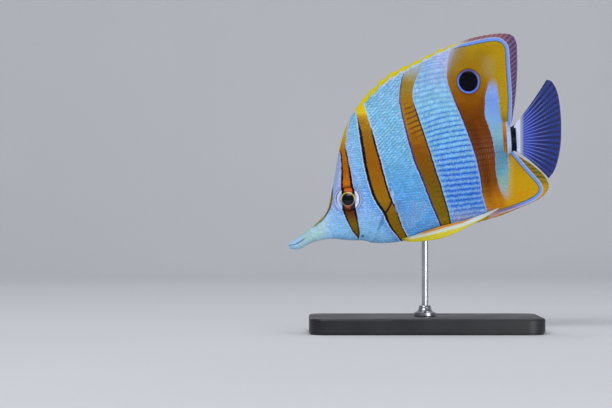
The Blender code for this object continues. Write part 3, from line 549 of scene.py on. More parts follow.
class SkinChart:
    """One grid over half of the skin, and its unrolled plane.

    Each column is a cross line: the anal fin from its margin up, the flank, and the dorsal
    fin up to its margin. Unrolled, a point lies at its x, and at the height of the widest
    line plus the length root(dz^2 + dw^2) walked over the flank to it.
    """

    def __init__(self, coat):
        snout = np.linspace(0, 5, 50)[:-1]
        head = np.linspace(5, GILL_ROW, 80)[:-1]
        trunk = rows_by_length(DORSAL_ROWS, 250)[:-1]
        peduncle = np.linspace(DORSAL_ROWS[1], LAST_ROW, 9)
        turn = np.radians((90, 60, 30))
        self.rows = np.concatenate((np.zeros(3), snout, head, trunk, peduncle, [LAST_ROW] * 3))
        closing = np.concatenate((turn, np.zeros(len(self.rows) - 6), -turn[::-1]))
        anal_steps = np.linspace(1, 0, 34)[:-1] ** 0.9
        shares = (1 - np.cos(np.linspace(0, math.pi, 72))) / 2
        dorsal_steps = np.linspace(0, 1, 36)[1:] ** 0.9
        low, high = len(anal_steps), len(anal_steps) + len(shares)
        self.body = (low, high - 1)
        self.last = high + len(dorsal_steps) - 1
        rows = self.rows[:, None]
        self.has_dorsal = (self.rows >= DORSAL_ROWS[0]) & (self.rows <= DORSAL_ROWS[1])
        self.has_anal = (self.rows >= ANAL_ROWS[0]) & (self.rows <= ANAL_ROWS[1])
        shape = (len(self.rows), self.last + 1)
        self.x, self.w, self.z, self.step, self.rays, self.share = np.zeros((6, *shape))
        self.margin = np.full(shape, 9.0)
        self.share[:, low:high] = shares
        self.share[:, high:] = 1.0
        self.x[:, low:high], self.z[:, low:high] = skin_side(rows, shares)
        self.w[:, low:high] = skin_width(rows, shares, coat)
        for fin, steps, where, part in (
            (DORSAL, dorsal_steps, self.has_dorsal, slice(high, None)),
            (ANAL, anal_steps, self.has_anal, slice(0, low)),
        ):
            at = np.clip(rows, *fin.rows)
            self.x[:, part], self.z[:, part] = fin.side(at, steps)
            width = fin.width(at, steps, coat=0.06)
            inside = np.flatnonzero(where)
            width[inside[[0, -1]]] = 0
            width[~where] = 0
            self.w[:, part] = width
            self.step[:, part] = steps
            self.rays[:, part] = fin.rays(at) + (ANAL_COUNT if fin is ANAL else 0)
            self.margin[:, part] = (1 - steps) * fin.length(at)
            edge = high - 1 if fin.upper else low
            self.w[inside[[0, -1]], edge] = 0
        self.w[self.w < 0.004] = 0
        self.x -= 0.35 * np.sin(closing)[:, None]
        self.w *= np.cos(closing)[:, None]
        self.w[[0, -1]] = 0
        lift = np.zeros(shape)
        rise = np.diff(self.z, axis=1)
        over = np.zeros(rise.shape)
        over[:, low : high - 1] = np.diff(self.w[:, low:high], axis=1)
        lift[:, 1:] = np.cumsum(np.sign(rise) * np.hypot(rise, over), axis=1)
        middle = low + int(np.abs(shares - WIDEST_SHARE).argmin())
        self.flat = lift - lift[:, middle : middle + 1] + self.z[:, middle : middle + 1]
        self.first_row = np.where(self.has_anal, 0, low)
        self.last_row = np.where(self.has_dorsal, self.last, high - 1)

    def corner(self, i, j):
        """The grid point before a place, along and up."""
        last = np.array(self.x.shape) - 2
        return np.clip(i.astype(int), 0, last[0]), np.clip(j.astype(int), 0, last[1])

    def read(self, grid, i, j):
        """A value between grid points: the mean of the four corners, weighted by nearness."""
        i0, j0 = self.corner(i, j)
        a, b = i - i0, j - j0
        near = grid[i0, j0] * (1 - b) + grid[i0, j0 + 1] * b
        far = grid[i0 + 1, j0] * (1 - b) + grid[i0 + 1, j0 + 1] * b
        return near * (1 - a) + far * a

    def hold(self, i, j):
        """Keeps places on the skin: columns first, then the run of each column."""
        i = np.clip(i, 3, len(self.rows) - 5)
        column = np.round(i).astype(int)
        return i, np.clip(j, self.first_row[column], self.last_row[column] - 0.02)

    def coarse(self, x, flat):
        """Nearest of every fourth grid point, as a first guess of a place."""
        columns = np.arange(4, len(self.rows) - 4, 4)
        lines = np.arange(0, self.last + 1, 3)
        i, j = np.meshgrid(columns, lines, indexing="ij")
        real = (j >= self.first_row[i]) & (j <= self.last_row[i])
        i, j = i[real], j[real]
        best = np.empty(len(x), int)
        for chunk in np.array_split(np.arange(len(x)), len(x) // 500 + 1):
            away = (x[chunk, None] - self.x[i, j]) ** 2 + (flat[chunk, None] - self.flat[i, j]) ** 2
            best[chunk] = away.argmin(axis=1)
        return i[best].astype(float), j[best].astype(float)

    def find(self, x, flat, i, j, turns=7):
        """Grid places of unrolled points, by Newton's steps from a first guess."""
        for _ in range(turns):
            i, j = self.hold(i, j)
            gap_x = x - self.read(self.x, i, j)
            gap_z = flat - self.read(self.flat, i, j)
            i0, j0 = self.corner(i, j)
            xi = self.x[i0 + 1, j0] - self.x[i0, j0]
            xj = self.x[i0, j0 + 1] - self.x[i0, j0]
            zi = self.flat[i0 + 1, j0] - self.flat[i0, j0]
            zj = self.flat[i0, j0 + 1] - self.flat[i0, j0]
            area = xi * zj - xj * zi
            area = np.where(np.abs(area) < 1e-4, 1e-4, area)
            i = i + np.clip((gap_x * zj - gap_z * xj) / area, -6, 6)
            j = j + np.clip((gap_z * xi - gap_x * zi) / area, -4, 4)
        i, j = self.hold(i, j)
        miss = np.hypot(x - self.read(self.x, i, j), flat - self.read(self.flat, i, j))
        return i, j, miss

    def surface(self, i, j):
        """Points x, -w, z of the left side and the outward direction, square to the grid."""
        here = self.place(i, j)
        along = self.place(np.minimum(i + 0.5, len(self.rows) - 4.5), j) - self.place(i - 0.5, j)
        column = np.round(i).astype(int)
        above = np.minimum(j + 0.5, self.last_row[column])
        up = self.place(i, above) - self.place(i, np.maximum(j - 0.5, self.first_row[column]))
        out = np.cross(along, up)
        out /= np.maximum(np.linalg.norm(out, axis=-1, keepdims=True), 1e-9)
        return here, out

    def place(self, i, j):
        """Points x, -w, z of the left side at grid places."""
        grids = (self.x, -self.w, self.z)
        return np.stack([self.read(grid, i, j) for grid in grids], axis=-1)

    def mesh(self):
        """Both halves of the skin, joined along every point whose half-width is nothing."""
        count, width = self.x.shape
        faces = grid_faces(count, width).reshape(count - 1, width - 1, 4)
        low, high = self.body
        keep = np.zeros(faces.shape[:2], bool)
        keep[:, low:high] = True
        keep[:, high:] = (self.has_dorsal[:-1] & self.has_dorsal[1:])[:, None]
        keep[:, :low] = (self.has_anal[:-1] & self.has_anal[1:])[:, None]
        faces = faces[keep]
        left = np.stack((self.x, -self.w, self.z), axis=-1).reshape(-1, 3)
        apart = self.w.ravel() > 0
        points, every = joined(left, left * MIRROR, apart, faces)
        grids = (self.step.ravel(), self.rays.ravel(), self.margin.ravel())
        values = [np.concatenate((grid, grid[apart])) for grid in grids]
        used, numbers = np.unique(every, return_inverse=True)
        points = points[used]
        fields = marking_fields(points[:, 0], points[:, 2], *[value[used] for value in values])
        return points, numbers.reshape(every.shape), fields


def flank(chart, x, z):
    """Half-widths of the skin at places in the side view: weighted mean of near grid points."""
    low, high = chart.body
    grid_x, grid_w, grid_z = (grid[:, low:high].ravel() for grid in (chart.x, chart.w, chart.z))
    widths = []
    for place_x, place_z in zip(np.ravel(x), np.ravel(z)):
        far = np.hypot(grid_x - place_x, grid_z - place_z)
        near = np.argpartition(far, 6)[:6]
        weight = 1 / (far[near] + 0.01)
        widths.append((grid_w[near] * weight).sum() / weight.sum())
    return np.reshape(widths, np.shape(x))


def blade(middle, half, across):
    """A closed thin form: the middle sheet less and plus half along across, welded at its rim.

    Half is taken as nothing along all four borders, so both faces share those points.
    """
    half = np.array(half)
    half[[0, -1]] = 0
    half[:, [0, -1]] = 0
    count, width = half.shape
    across = np.broadcast_to(across, middle.shape)
    near = (middle - across * half[..., None]).reshape(-1, 3)
    far = (middle + across * half[..., None]).reshape(-1, 3)
    apart = half.ravel() > 0
    points, every = joined(near, far, apart, grid_faces(count, width))
    return points, faced_out(points, every), apart


def fin_piece(name, sheet, material, slot, node):
    """A blade as a piece. The sheet holds its middle, its half-thickness, the way across it
    and the values on its points: step to the margin, rays passed and mm to the margin.
    """
    middle, half, across, values = sheet
    points, faces, apart = blade(middle, half, np.array(across))
    flat = np.stack(values, axis=-1).reshape(-1, 3)
    fields = {"fin": np.concatenate((flat, flat[apart]))}
    new_piece(name, points, faces, material, slot, fields, (node,))


def forked_ridge(phase, step, forks=(0.4, 0.8), width=0.11):
    """Ridge of a ray: bells round its middle that part after one fork, then after two."""
    d = np.abs(phase % 1.0 - 0.5)
    first = 0.13 * ramp(step, forks[0], forks[1])
    second = 0.06 * ramp(step, forks[1], 1.15)
    one = np.exp(-(((d - first - second) / width) ** 2))
    other = np.exp(-(((d - first + second) / width) ** 2))
    return np.maximum(one, other)


def turned(profile, segments, centre, axis):
    """A profile of radius and height turned round an axis, with a point at each end.

    Points are centre + radius (cos t * side + sin t * up) + height * axis.
    """
    profile = np.asarray(profile, float)
    axis = np.asarray(axis, float) / np.linalg.norm(axis)
    start = (0.0, 0.0, 1.0) if abs(axis[2]) < 0.9 else (0.0, -1.0, 0.0)
    side = np.cross(start, axis)
    side /= np.linalg.norm(side)
    up = np.cross(axis, side)
    turn = np.linspace(0, 2 * math.pi, segments, endpoint=False)
    ring = np.cos(turn)[:, None] * side + np.sin(turn)[:, None] * up
    points = centre + profile[:, 0, None, None] * ring + profile[:, 1, None, None] * axis
    return *welded_rings(points), (side, up, axis)


def welded_rings(rings):
    """Triangles between closed rings of points, with equal points made one.

    A ring that is drawn in to a point closes the end, and equal first and last rings
    close the form on itself.
    """
    count, segments = rings.shape[:2]
    line, spoke = np.meshgrid(np.arange(count - 1), np.arange(segments), indexing="ij")
    here = (line * segments + spoke).ravel()
    after = (line * segments + (spoke + 1) % segments).ravel()
    faces = np.stack((here, after, after + segments, here + segments), axis=-1)
    place, numbers = np.unique(np.round(rings.reshape(-1, 3), 5), axis=0, return_inverse=True)
    faces = numbers.ravel()[np.concatenate((faces[:, [0, 1, 2]], faces[:, [0, 2, 3]]))]
    whole = (faces[:, 0] != faces[:, 1]) & (faces[:, 1] != faces[:, 2]) & (faces[:, 2] != faces[:, 0])
    faces = faces[whole]
    return place, faced_out(place, faces)


def row_lift(p, q):
    """How far a row of scales rises over its own height q at a place p along the fish.

    A tenth of the way along, 0.14 more on the upper rear flank, less a bow of
    2.4 ((p - 8) / 14)^2 near the back, limited.
    """
    steep = 0.14 * ramp(q, 74.0, 102.0) * (1 - ramp(q, 106.0, 118.0))
    bow = np.clip((p - 8.0) / 14.0, -1.6, 1.6) ** 2 * ramp(q, 84.0, 114.0) * ramp(p, -12.0, 0.0)
    return 0.1 * (p - 5.0) + steep * (np.clip(p, -6.0, 30.0) - 8.0) - 2.4 * bow


def scale_places(chart, along, across, keep, seed):
    """Centres of scales in staggered rows over the unrolled skin, where keep says so."""
    p, q = np.meshgrid(np.arange(-70, 66, along), np.arange(5, 175, across), indexing="ij")
    odd = (np.arange(p.shape[1]) % 2)[None, :]
    p = (p + odd * along / 2).ravel()
    q = q.ravel()
    shake = np.random.default_rng(seed).normal(0.0, 0.05, (2, len(p)))
    p, q = p + shake[0] * along, q + shake[1] * across * 0.6
    flat = q + row_lift(p, q)
    i, j = chart.coarse(p, flat)
    i, j, miss = chart.find(p, flat, i, j)
    chosen = (miss < 0.12) & keep(chart, i, j)
    return p[chosen], q[chosen], i[chosen], j[chosen]


def plate_mesh(chart, places, length, height, rise, seed, lines=4, points=6):
    """Closed plates that follow the skin: sunk in front, raised and rounded at the rear.

    In its own plane a point is at s along and b across: s L (1 - 0.34 (2b)^2) - L/2 and b H.
    It stands off the skin by rise (s - 0.25) + 0.3 rise (1 - (2b)^2), less near the sides.
    """
    p, q, i, j = places
    s, b = np.meshgrid(np.linspace(0, 1, lines), np.linspace(-0.5, 0.5, points), indexing="ij")
    s, b = s.ravel(), b.ravel()
    random = np.random.default_rng(seed)
    size = 1 + random.normal(0.0, 0.05, (len(p), 1))
    local_p = (s * (1 - 0.34 * (2 * b) ** 2) - 0.5) * length
    point_p = p[:, None] + local_p * size
    point_q = q[:, None] + b * height * size
    flat = point_q + row_lift(point_p, point_q)
    spread = np.ones(s.shape)
    i, j, miss = chart.find(
        point_p.ravel(), flat.ravel(), (i[:, None] * spread).ravel(), (j[:, None] * spread).ravel(), 5
    )
    here, out = chart.surface(i, j)
    tilt = 1 + random.normal(0.0, 0.18, (len(p), 1))
    stand = (rise * tilt * (s - 0.25) + 0.3 * rise * (1 - (2 * b) ** 2)).ravel()
    top = here + out * stand[:, None]
    base = here - out * 0.09
    each = lines * points
    top, base = top.reshape(-1, each, 3), base.reshape(-1, each, 3)
    far = np.linalg.norm(top - top.mean(axis=1, keepdims=True), axis=2).max(axis=1)
    sound = (far < 0.62 * math.hypot(length, height)) & (miss.reshape(-1, each).max(axis=1) < 0.3)
    count = int(sound.sum())
    p, q, both = p[sound], q[sound], np.repeat(sound, each)
    i, j = i[both], j[both]
    every = np.concatenate((top[sound], base[sound]), axis=1)
    tops = grid_faces(lines, points)
    number = np.arange(each).reshape(lines, points)
    rim = np.concatenate((number[:, 0], number[-1, 1:], number[-2::-1, -1], number[0, -2:0:-1]))
    after = np.roll(rim, -1)
    walls = np.stack((after, rim, rim + each, after + each), axis=-1)
    template = np.concatenate((tops, tops[:, ::-1] + each, walls))
    faces = (template[None] + (np.arange(count) * 2 * each)[:, None, None]).reshape(-1, 4)
    grids = [chart.read(grid, i, j) for grid in (chart.step, chart.rays, chart.margin)]
    twice = [np.concatenate((g.reshape(count, each),) * 2, axis=1).ravel() for g in grids]
    every = every.reshape(-1, 3)
    fields = marking_fields(every[:, 0], every[:, 2], *twice)
    tone = np.repeat(random.random(count), 2 * each)
    both_b, both_s = np.tile(2 * b, 2 * count), np.tile(s, 2 * count)
    fields["plate"] = np.stack((both_b, both_s, tone), axis=-1)
    root = np.stack(((p + 75) / 150, (q - 5) / 350), axis=-1)
    patch = np.stack((s - 0.5, b), axis=-1) * 0.003
    uv = (root[:, None] + np.tile(patch, (2, 1))[None]).reshape(-1, 2)
    return every, faces, fields, uv


def behind_third_band(chart, i, j):
    """Whether places lie behind the middle line of the third band."""
    front, rear = band_field(THIRD_BAND, chart.read(chart.x, i, j), chart.read(chart.z, i, j))
    return front > rear


def on_rear_flank(chart, i, j):
    """The part of the flank behind the third band, with its tall scales in rows."""
    return on_flank(chart, i, j) & behind_third_band(chart, i, j)


def on_front_flank(chart, i, j):
    """The part of the flank before the third band, with its small scales in a mesh."""
    return on_flank(chart, i, j) & ~behind_third_band(chart, i, j)


def flank_and_body(chart, i, j):
    """Cross line and share of places, whether they lie past the cheek, and on the body."""
    row = chart.read(chart.rows[:, None] + 0 * chart.x, i, j)
    share = chart.read(chart.share, i, j)
    low, high = chart.body
    past_cheek = (row > FLANK_ROWS[0]) | ((share > COVER_SHARE) & (row > COVER_ROW))
    return row, share, past_cheek, (j > low + SEAM) & (j < high - SEAM)


def on_flank(chart, i, j):
    """Behind the cheek and over the gill cover, within the body's own run."""
    row, _, past_cheek, body = flank_and_body(chart, i, j)
    return body & past_cheek & (row < FLANK_ROWS[1])


def on_head(chart, i, j):
    """Before the flank, clear of the jaws, the eye, the nostrils and the gill opening."""
    row, share, past_cheek, body = flank_and_body(chart, i, j)
    x, z = chart.read(chart.x, i, j), chart.read(chart.z, i, j)
    clear = np.hypot(x - EYE_PLACE[0], z - EYE_PLACE[1]) > RIM_RADIUS + 1.3
    for place in NOSTRIL_PLACES:
        clear &= np.hypot(x - place[0], z - place[1]) > NOSTRIL_RADIUS + 1.0
    opening = (np.abs(row - OPENING_ROW) < 0.14) & (share < COVER_SHARE)
    return body & clear & (row > 2.6) & ~past_cheek & ~opening


def on_fins(chart, i, j):
    """On the dorsal and anal fins, inside their blue lines and the yellow edge."""
    x, z = chart.read(chart.x, i, j), chart.read(chart.z, i, j)
    margin, step = chart.read(chart.margin, i, j), chart.read(chart.step, i, j)
    dorsal, _ = line_field(DORSAL_LINE, x, z)
    anal, _ = line_field(ANAL_LINE, x, z)
    low, high = chart.body
    above = (j >= high - SEAM) & (margin > 3.2) & ((x < 15) | (dorsal < -1.3))
    below = (j <= low + SEAM) & (margin > 1.8) & (anal < -1.3)
    return (above | below) & (step < 0.9) & (i > 3)


# Coats of scales: name, pitch along, pitch across, length, height, rise, where, seed
COATS = (
    ("rear_flank", 1.3, 2.64, 2.2, 2.9, 0.12, on_rear_flank, 11),
    ("front_flank", 1.7, 1.34, 2.3, 1.62, 0.085, on_front_flank, 14),
    ("head", 1.15, 1.15, 1.7, 1.35, 0.042, on_head, 12),
    ("fins", 1.2, 1.4, 1.8, 1.6, 0.06, on_fins, 13),
)


class FISH_OT_scales(bpy.types.Operator):
    """Lay the plates of the scales over the skin, coat by coat on both sides"""

    bl_idname = "fish.scales"
    bl_label = "Scales"

    def execute(self, context):
        scene = context.scene
        chart = SkinChart(scene.fish_form.coat_depth / MM)
        material = fish_material("scales", scene.fish_colours, 1.0, 0.36, 0.25)
        for name, along, across, length, height, rise, keep, seed in COATS:
            places = scale_places(chart, along, across, keep, seed)
            points, faces, fields, uv = plate_mesh(chart, places, length, height, rise, seed)
            new_piece("scales_" + name + "_left", points, faces, material, "skin_blue", fields, (), uv)
            points = points * MIRROR
            uv = uv + np.array((0.0, 0.5))
            new_piece(
                "scales_" + name + "_right", points, faces[:, ::-1], material, "skin_blue",
                fields, (), uv,
            )
        return {"FINISHED"}


def paint(red, green, blue):
    """A screen colour of 0 to 255 as the linear colour that the sockets take."""
    shares = np.array((red, green, blue)) / 255
    linear = np.where(shares <= 0.04045, shares / 12.92, ((shares + 0.055) / 1.055) ** 2.4)
    return tuple(float(value) for value in linear)


class Board:
    """A node tree with short calls: each adds nodes and gives back an output."""

    def __init__(self, tree):
        self.tree = tree

    def put(self, socket, value):
        """Links an output to a socket, or sets the socket to a number, vector or colour."""
        if isinstance(value, bpy.types.NodeSocket):
            self.tree.links.new(value, socket)
        elif socket.type == "RGBA" and len(value) == 3:
            socket.default_value = (*value, 1.0)
        else:
            socket.default_value = value

    def feed(self, sockets, **values):
        """Puts values into sockets by name, in small letters with a low line for a space."""
        by_name = {socket.name.lower().replace(" ", "_"): socket for socket in sockets}
        for name, value in values.items():
            self.put(by_name[name], value)

    def add(self, kind, inputs=None, out=0, **settings):
        """One node with its settings and its inputs, by name or number."""
        node = self.tree.nodes.new(kind)
        for key, value in settings.items():
            setattr(node, key, value)
        for key, value in (inputs or {}).items():
            self.put(node.inputs[key], value)
        return node.outputs[out]

    def group(self, tree, **values):
        """A node group placed with its values; gives back all its outputs."""
        node = self.tree.nodes.new("ShaderNodeGroup")
        node.node_tree = tree
        self.feed(node.inputs, **values)
        return tuple(node.outputs)

    def maths(self, operation, *values, clamp=False):
        inputs = dict(enumerate(values))
        return self.add("ShaderNodeMath", inputs, operation=operation, use_clamp=clamp)

    def ease(self, value, low, high, start=0.0, end=1.0):
        """Smooth step from start where the value is low to end where it is high."""
        inputs = {0: value, 1: low, 2: high, 3: start, 4: end}
        return self.add("ShaderNodeMapRange", inputs, interpolation_type="SMOOTHSTEP")

    def between(self, value, *ends):
        """Two smooth steps multiplied: 0 at the first and third end, 1 at the second and fourth."""
        return self.product(self.ease(value, *ends[:2]), self.ease(value, *ends[2:]))

    def within(self, value, low, high, soft=0.2):
        """1 between low and high, with soft ends."""
        return self.between(value, low - soft, low + soft, high + soft, high - soft)

    def away(self, value, middle):
        """How far a value is from a middle."""
        return self.maths("ABSOLUTE", self.maths("SUBTRACT", value, middle))

    def squared(self, across, up, middle=(0.0, 0.0), half=(1.0, 1.0)):
        """Squared distance from a middle, each part first divided by its half-width."""
        parts = []
        for value, centre, reach in zip((across, up), middle, half):
            part = self.product(self.maths("SUBTRACT", value, centre), 1 / reach)
            parts.append(self.maths("POWER", part, 2.0))
        return self.maths("ADD", *parts)

    def product(self, *values):
        made = values[0]
        for value in values[1:]:
            made = self.maths("MULTIPLY", made, value)
        return made

    def blend(self, share, first, second):
        """The first colour turning into the second; a tuple is a screen colour of 0 to 255."""
        pair = [paint(*shade) if isinstance(shade, tuple) else shade for shade in (first, second)]
        inputs = {0: share, 6: pair[0], 7: pair[1]}
        return self.add("ShaderNodeMix", inputs, 2, data_type="RGBA")

    def over(self, colour, shade, *shares):
        """A colour with a shade laid over it by the product of shares."""
        return self.blend(self.product(*shares), colour, shade)

    def shaded(self, colour, value, saturation):
        """A colour with its brightness multiplied by a value."""
        return self.add("ShaderNodeHueSaturation", {
            "Hue": 0.5, "Saturation": saturation, "Color": colour, "Value": value,
        })

    def field(self, name):
        """The three parts of a vector kept on the mesh's points."""
        return self.split(self.add("ShaderNodeAttribute", out=1, attribute_name=name))

    def split(self, vector):
        node = self.tree.nodes.new("ShaderNodeSeparateXYZ")
        self.tree.links.new(vector, node.inputs[0])
        return tuple(node.outputs)

    def place_in_mm(self):
        """Object coordinates in millimetres, as one vector."""
        place = self.add("ShaderNodeTexCoord", out=3)
        return self.add("ShaderNodeVectorMath", {0: place, 3: 1 / MM}, operation="SCALE")

    def noise(self, vector, scale, detail=2.0, rough=0.5):
        inputs = {"Vector": vector, "Scale": scale, "Detail": detail, "Roughness": rough}
        return self.add("ShaderNodeTexNoise", inputs)

    def relief(self, height, strength, distance):
        """A bump from a height, for the shader's Normal."""
        inputs = {"Strength": strength, "Distance": distance, "Height": height}
        return self.add("ShaderNodeBump", inputs)

    def by_height(self, z, *stops):
        """A colour read from stops: a height in mm, then a screen colour or a property."""
        low, high = STOP_HEIGHTS
        node = self.tree.nodes.new("ShaderNodeValToRGB")
        elements = node.color_ramp.elements
        made = [elements[0], elements[1]]
        places = [(stop[0] - low) / (high - low) for stop in stops]
        shades = [(*(stop[1] if len(stop) == 2 else paint(*stop[1:])), 1.0) for stop in stops]
        made[0].position, made[0].color = places[0], shades[0]
        made[1].position, made[1].color = places[-1], shades[-1]
        for place, shade in zip(places[1:-1], shades[1:-1]):
            elements.new(place).color = shade
        self.put(node.inputs[0], self.add("ShaderNodeMapRange", {0: z, 1: low, 2: high}))
        return node.outputs[0]


def new_group(name, given, made):
    """A board on an empty node group, what its inputs give and what its outputs take.

    given holds the inputs with their defaults and made names the outputs. A default of
    three values makes a colour socket, and so does the output name Colour.
    """
    group = bpy.data.node_groups.new(name, "ShaderNodeTree")
    for key, default in given.items():
        colour = isinstance(default, tuple)
        kind = "NodeSocketColor" if colour else "NodeSocketFloat"
        socket = group.interface.new_socket(key, in_out="INPUT", socket_type=kind)
        socket.default_value = (*default, 1.0) if colour else default
    for key in made:
        kind = "NodeSocketColor" if key == "Colour" else "NodeSocketFloat"
        group.interface.new_socket(key, in_out="OUTPUT", socket_type=kind)
    start = group.nodes.new("NodeGroupInput")
    end = group.nodes.new("NodeGroupOutput")
    return Board(group), start.outputs, end.inputs[: len(made)]


def new_material(name, **values):
    """A material with its board and its shader's inputs, with plain numbers set on them."""
    made = bpy.data.materials.new(name)
    made.use_nodes = True
    board = Board(made.node_tree)
    sockets = made.node_tree.nodes["Principled BSDF"].inputs
    board.feed(sockets, **values)
    return made, board, sockets


def fin_rays_group():
    """Shader group of a clear fin: how much of a ray shows at a point, with its joints."""
    name = "fin rays"
    if name in bpy.data.node_groups:
        return bpy.data.node_groups[name]
    board, given, out = new_group(name, {"First fork": 0.4}, ("Ray", "Joint", "Step"))
    step, rays, _ = board.field("fin")
    off = board.away(board.maths("FRACT", rays), 0.5)
    forked = board.maths("ADD", given["First fork"], 0.4)
    near = board.away(off, board.ease(step, given["First fork"], forked, 0.0, 0.13))
    ray = board.ease(near, 0.17, 0.05)
    joint = board.ease(board.maths("SINE", board.maths("MULTIPLY", step, 150.0)), 0.5, 0.95)
    board.feed(out, ray=ray, joint=board.product(joint, ray), step=step)
    return board.tree


def finish_fin(board, sockets, ray, joint, rough, sunk, bump, **values):
    """Roughness that differs on the rays, and a bump of the rays less their sunk joints."""
    height = board.maths("SUBTRACT", ray, board.product(joint, sunk))
    board.feed(
        sockets, roughness=board.ease(ray, 0.0, 1.0, *rough), normal=board.relief(height, *bump),
        **values,
    )


def tail_material():
    """Deep blue fin: a pale root, a grey strip, and light rays that fan out."""
    made, board, sockets = new_material(
        "tail_fin", coat_weight=0.04, coat_roughness=0.2, specular_ior_level=0.15
    )
    ease, over = board.ease, board.over
    ray, joint, step = board.group(fin_rays_group(), first_fork=0.4)
    x, _, _ = board.split(board.place_in_mm())
    membrane = board.blend(ease(step, 0.05, 0.6), (50, 72, 196), (6, 28, 96))
    light = board.blend(ease(step, 0.15, 0.8), (150, 168, 250), (34, 60, 150))
    colour = over(membrane, light, ray, 0.8)
    colour = over(colour, (120, 124, 200), joint, 0.35)
    root = ease(x, 49.4, 47.6)
    colour = over(colour, (214, 220, 250), root)
    colour = over(colour, (128, 150, 150), board.between(x, 47.2, 47.8, 49.4, 48.8), 0.6)
    rays = board.product(ray, ease(step, 1.0, 0.5, 0.12, 0.3))
    clear = board.maths("ADD", ease(step, 0.15, 0.95, 0.97, 0.8), rays, clamp=True)
    clear = board.maths("MAXIMUM", clear, root)
    finish_fin(
        board, sockets, ray, joint, (0.3, 0.42), 0.5, (0.35, 0.00015), base_color=colour, alpha=clear
    )
    return made


def pectoral_material():
    """Almost clear fan: faint pale rays and a paler root."""
    made, board, sockets = new_material("pectoral_fin", coat_weight=0.2, coat_roughness=0.15)
    ray, joint, step = board.group(fin_rays_group(), first_fork=0.35)
    root = board.ease(step, 0.16, 0.0)
    colour = board.blend(board.product(ray, 0.8), (120, 180, 238), (196, 222, 250))
    colour = board.over(colour, (150, 200, 244), root, 0.7)
    clear = board.maths("MULTIPLY_ADD", ray, 0.2, 0.07)
    clear = board.maths("ADD", clear, board.product(root, 0.5), clamp=True)
    finish_fin(
        board, sockets, ray, joint, (0.25, 0.4), 0.5, (0.3, 0.0001), base_color=colour, alpha=clear
    )
    return made


def pelvic_material():
    """White blade with a yellow lower edge, yellow-green streaks and an orange upper edge."""
    made, board, sockets = new_material("pelvic_fin", coat_weight=0.25, coat_roughness=0.2)
    ease, over = board.ease, board.over
    ray, joint, step = board.group(fin_rays_group(), first_fork=0.5)
    _, rays, _ = board.field("fin")
    across = board.maths("DIVIDE", rays, float(PELVIC_RAYS))
    colour = board.blend(ray, (214, 230, 226), (246, 250, 250))
    wave = board.maths("SINE", board.maths("MULTIPLY", rays, 2 * math.pi))
    colour = over(colour, (222, 222, 70), ease(wave, 0.3, 1.0), ease(step, 0.75, 0.35), 0.55)
    low = ease(across, ease(step, 0.35, 0.85, 0.56, 0.3), ease(step, 0.35, 0.85, 0.44, 0.12))
    colour = over(colour, (228, 214, 6), low, ease(step, 0.92, 0.72))
    colour = over(colour, (206, 190, 20), ease(step, 0.12, 0.02))
    high = ease(across, 0.72, 0.84)
    colour = over(colour, (222, 148, 0), high, board.between(step, 0.1, 0.26, 0.8, 0.6))
    colour = over(colour, (150, 160, 150), joint, 0.12)
    finish_fin(board, sockets, ray, joint, (0.32, 0.4), 0.4, (0.4, 0.0001), base_color=colour)
    return made


def eye_material():
    """Black pupil in a thin yellow ring, a pale iris, and the eye band across it."""
    made, board, sockets = new_material(
        "eye", roughness=0.16, specular_ior_level=0.22, coat_weight=0.25, coat_roughness=0.08
    )
    ease, over = board.ease, board.over
    along, up, _ = board.field("eye")
    far = board.maths("SQRT", board.squared(along, up))
    spin = board.noise(board.place_in_mm(), 1.4, 3.0)
    iris = board.blend(ease(spin, 0.4, 0.62), (176, 206, 242), (228, 238, 252))
    iris = over(iris, (112, 146, 214), ease(far, 4.6, 4.1), 0.6)
    iris = over(iris, (234, 240, 252), board.between(far, 4.6, 5.0, 5.9, 5.5))
    iris = over(iris, (60, 110, 190), ease(far, 5.62, 5.95))
    above = board.blend(ease(up, 3.2, 4.5), (140, 36, 66), (216, 116, 16))
    slope = board.maths("MULTIPLY_ADD", along, 0.4, up)
    below = board.blend(ease(slope, -4.8, -3.6), (92, 54, 18), (214, 82, 36))
    below = over(below, (56, 26, 20), ease(along, 0.2, 1.6))
    band = board.blend(ease(up, -0.6, 0.6), below, above)
    wide = board.away(board.maths("MULTIPLY_ADD", up, 0.04, along), 0.25)
    iris = over(iris, (8, 6, 26), ease(wide, 3.4, 3.1))
    iris = over(iris, band, ease(wide, 2.2, 1.7))
    gold = board.blend(ease(up, -1.2, 0.4), (150, 128, 96), (232, 206, 30))
    iris = over(iris, gold, board.between(far, 3.0, 3.1, 3.62, 3.45))
    board.feed(sockets, base_color=over(iris, (5, 8, 20), ease(far, 3.12, 2.98)))
    return made


def stand_material():
    """Satin black plastic: a fine grain, and a painted highlight along the rolled upper edge."""
    made, board, sockets = new_material("stand_plastic", specular_ior_level=0.5)
    place = board.place_in_mm()
    _, _, z = board.split(place)
    grain = board.noise(place, 3.0, 3.0, 0.6)
    cloud = board.noise(place, 0.05, 2.0)
    colour = board.blend(board.ease(cloud, 0.3, 0.7), (26, 27, 30), (36, 37, 41))
    # Painted highlight: a lighter grey band along the rolled upper edge, broken up by the grain
    edge = board.product(board.between(z, 6.8, 7.6, 8.2, 7.9))
    colour = board.over(colour, (84, 86, 92), edge, board.ease(grain, 0.45, 0.6), 0.4)
    board.feed(
        sockets, base_color=colour, roughness=board.ease(cloud, 0.3, 0.75, 0.36, 0.48),
        normal=board.relief(grain, 0.25, 0.00008),
    )
    return made


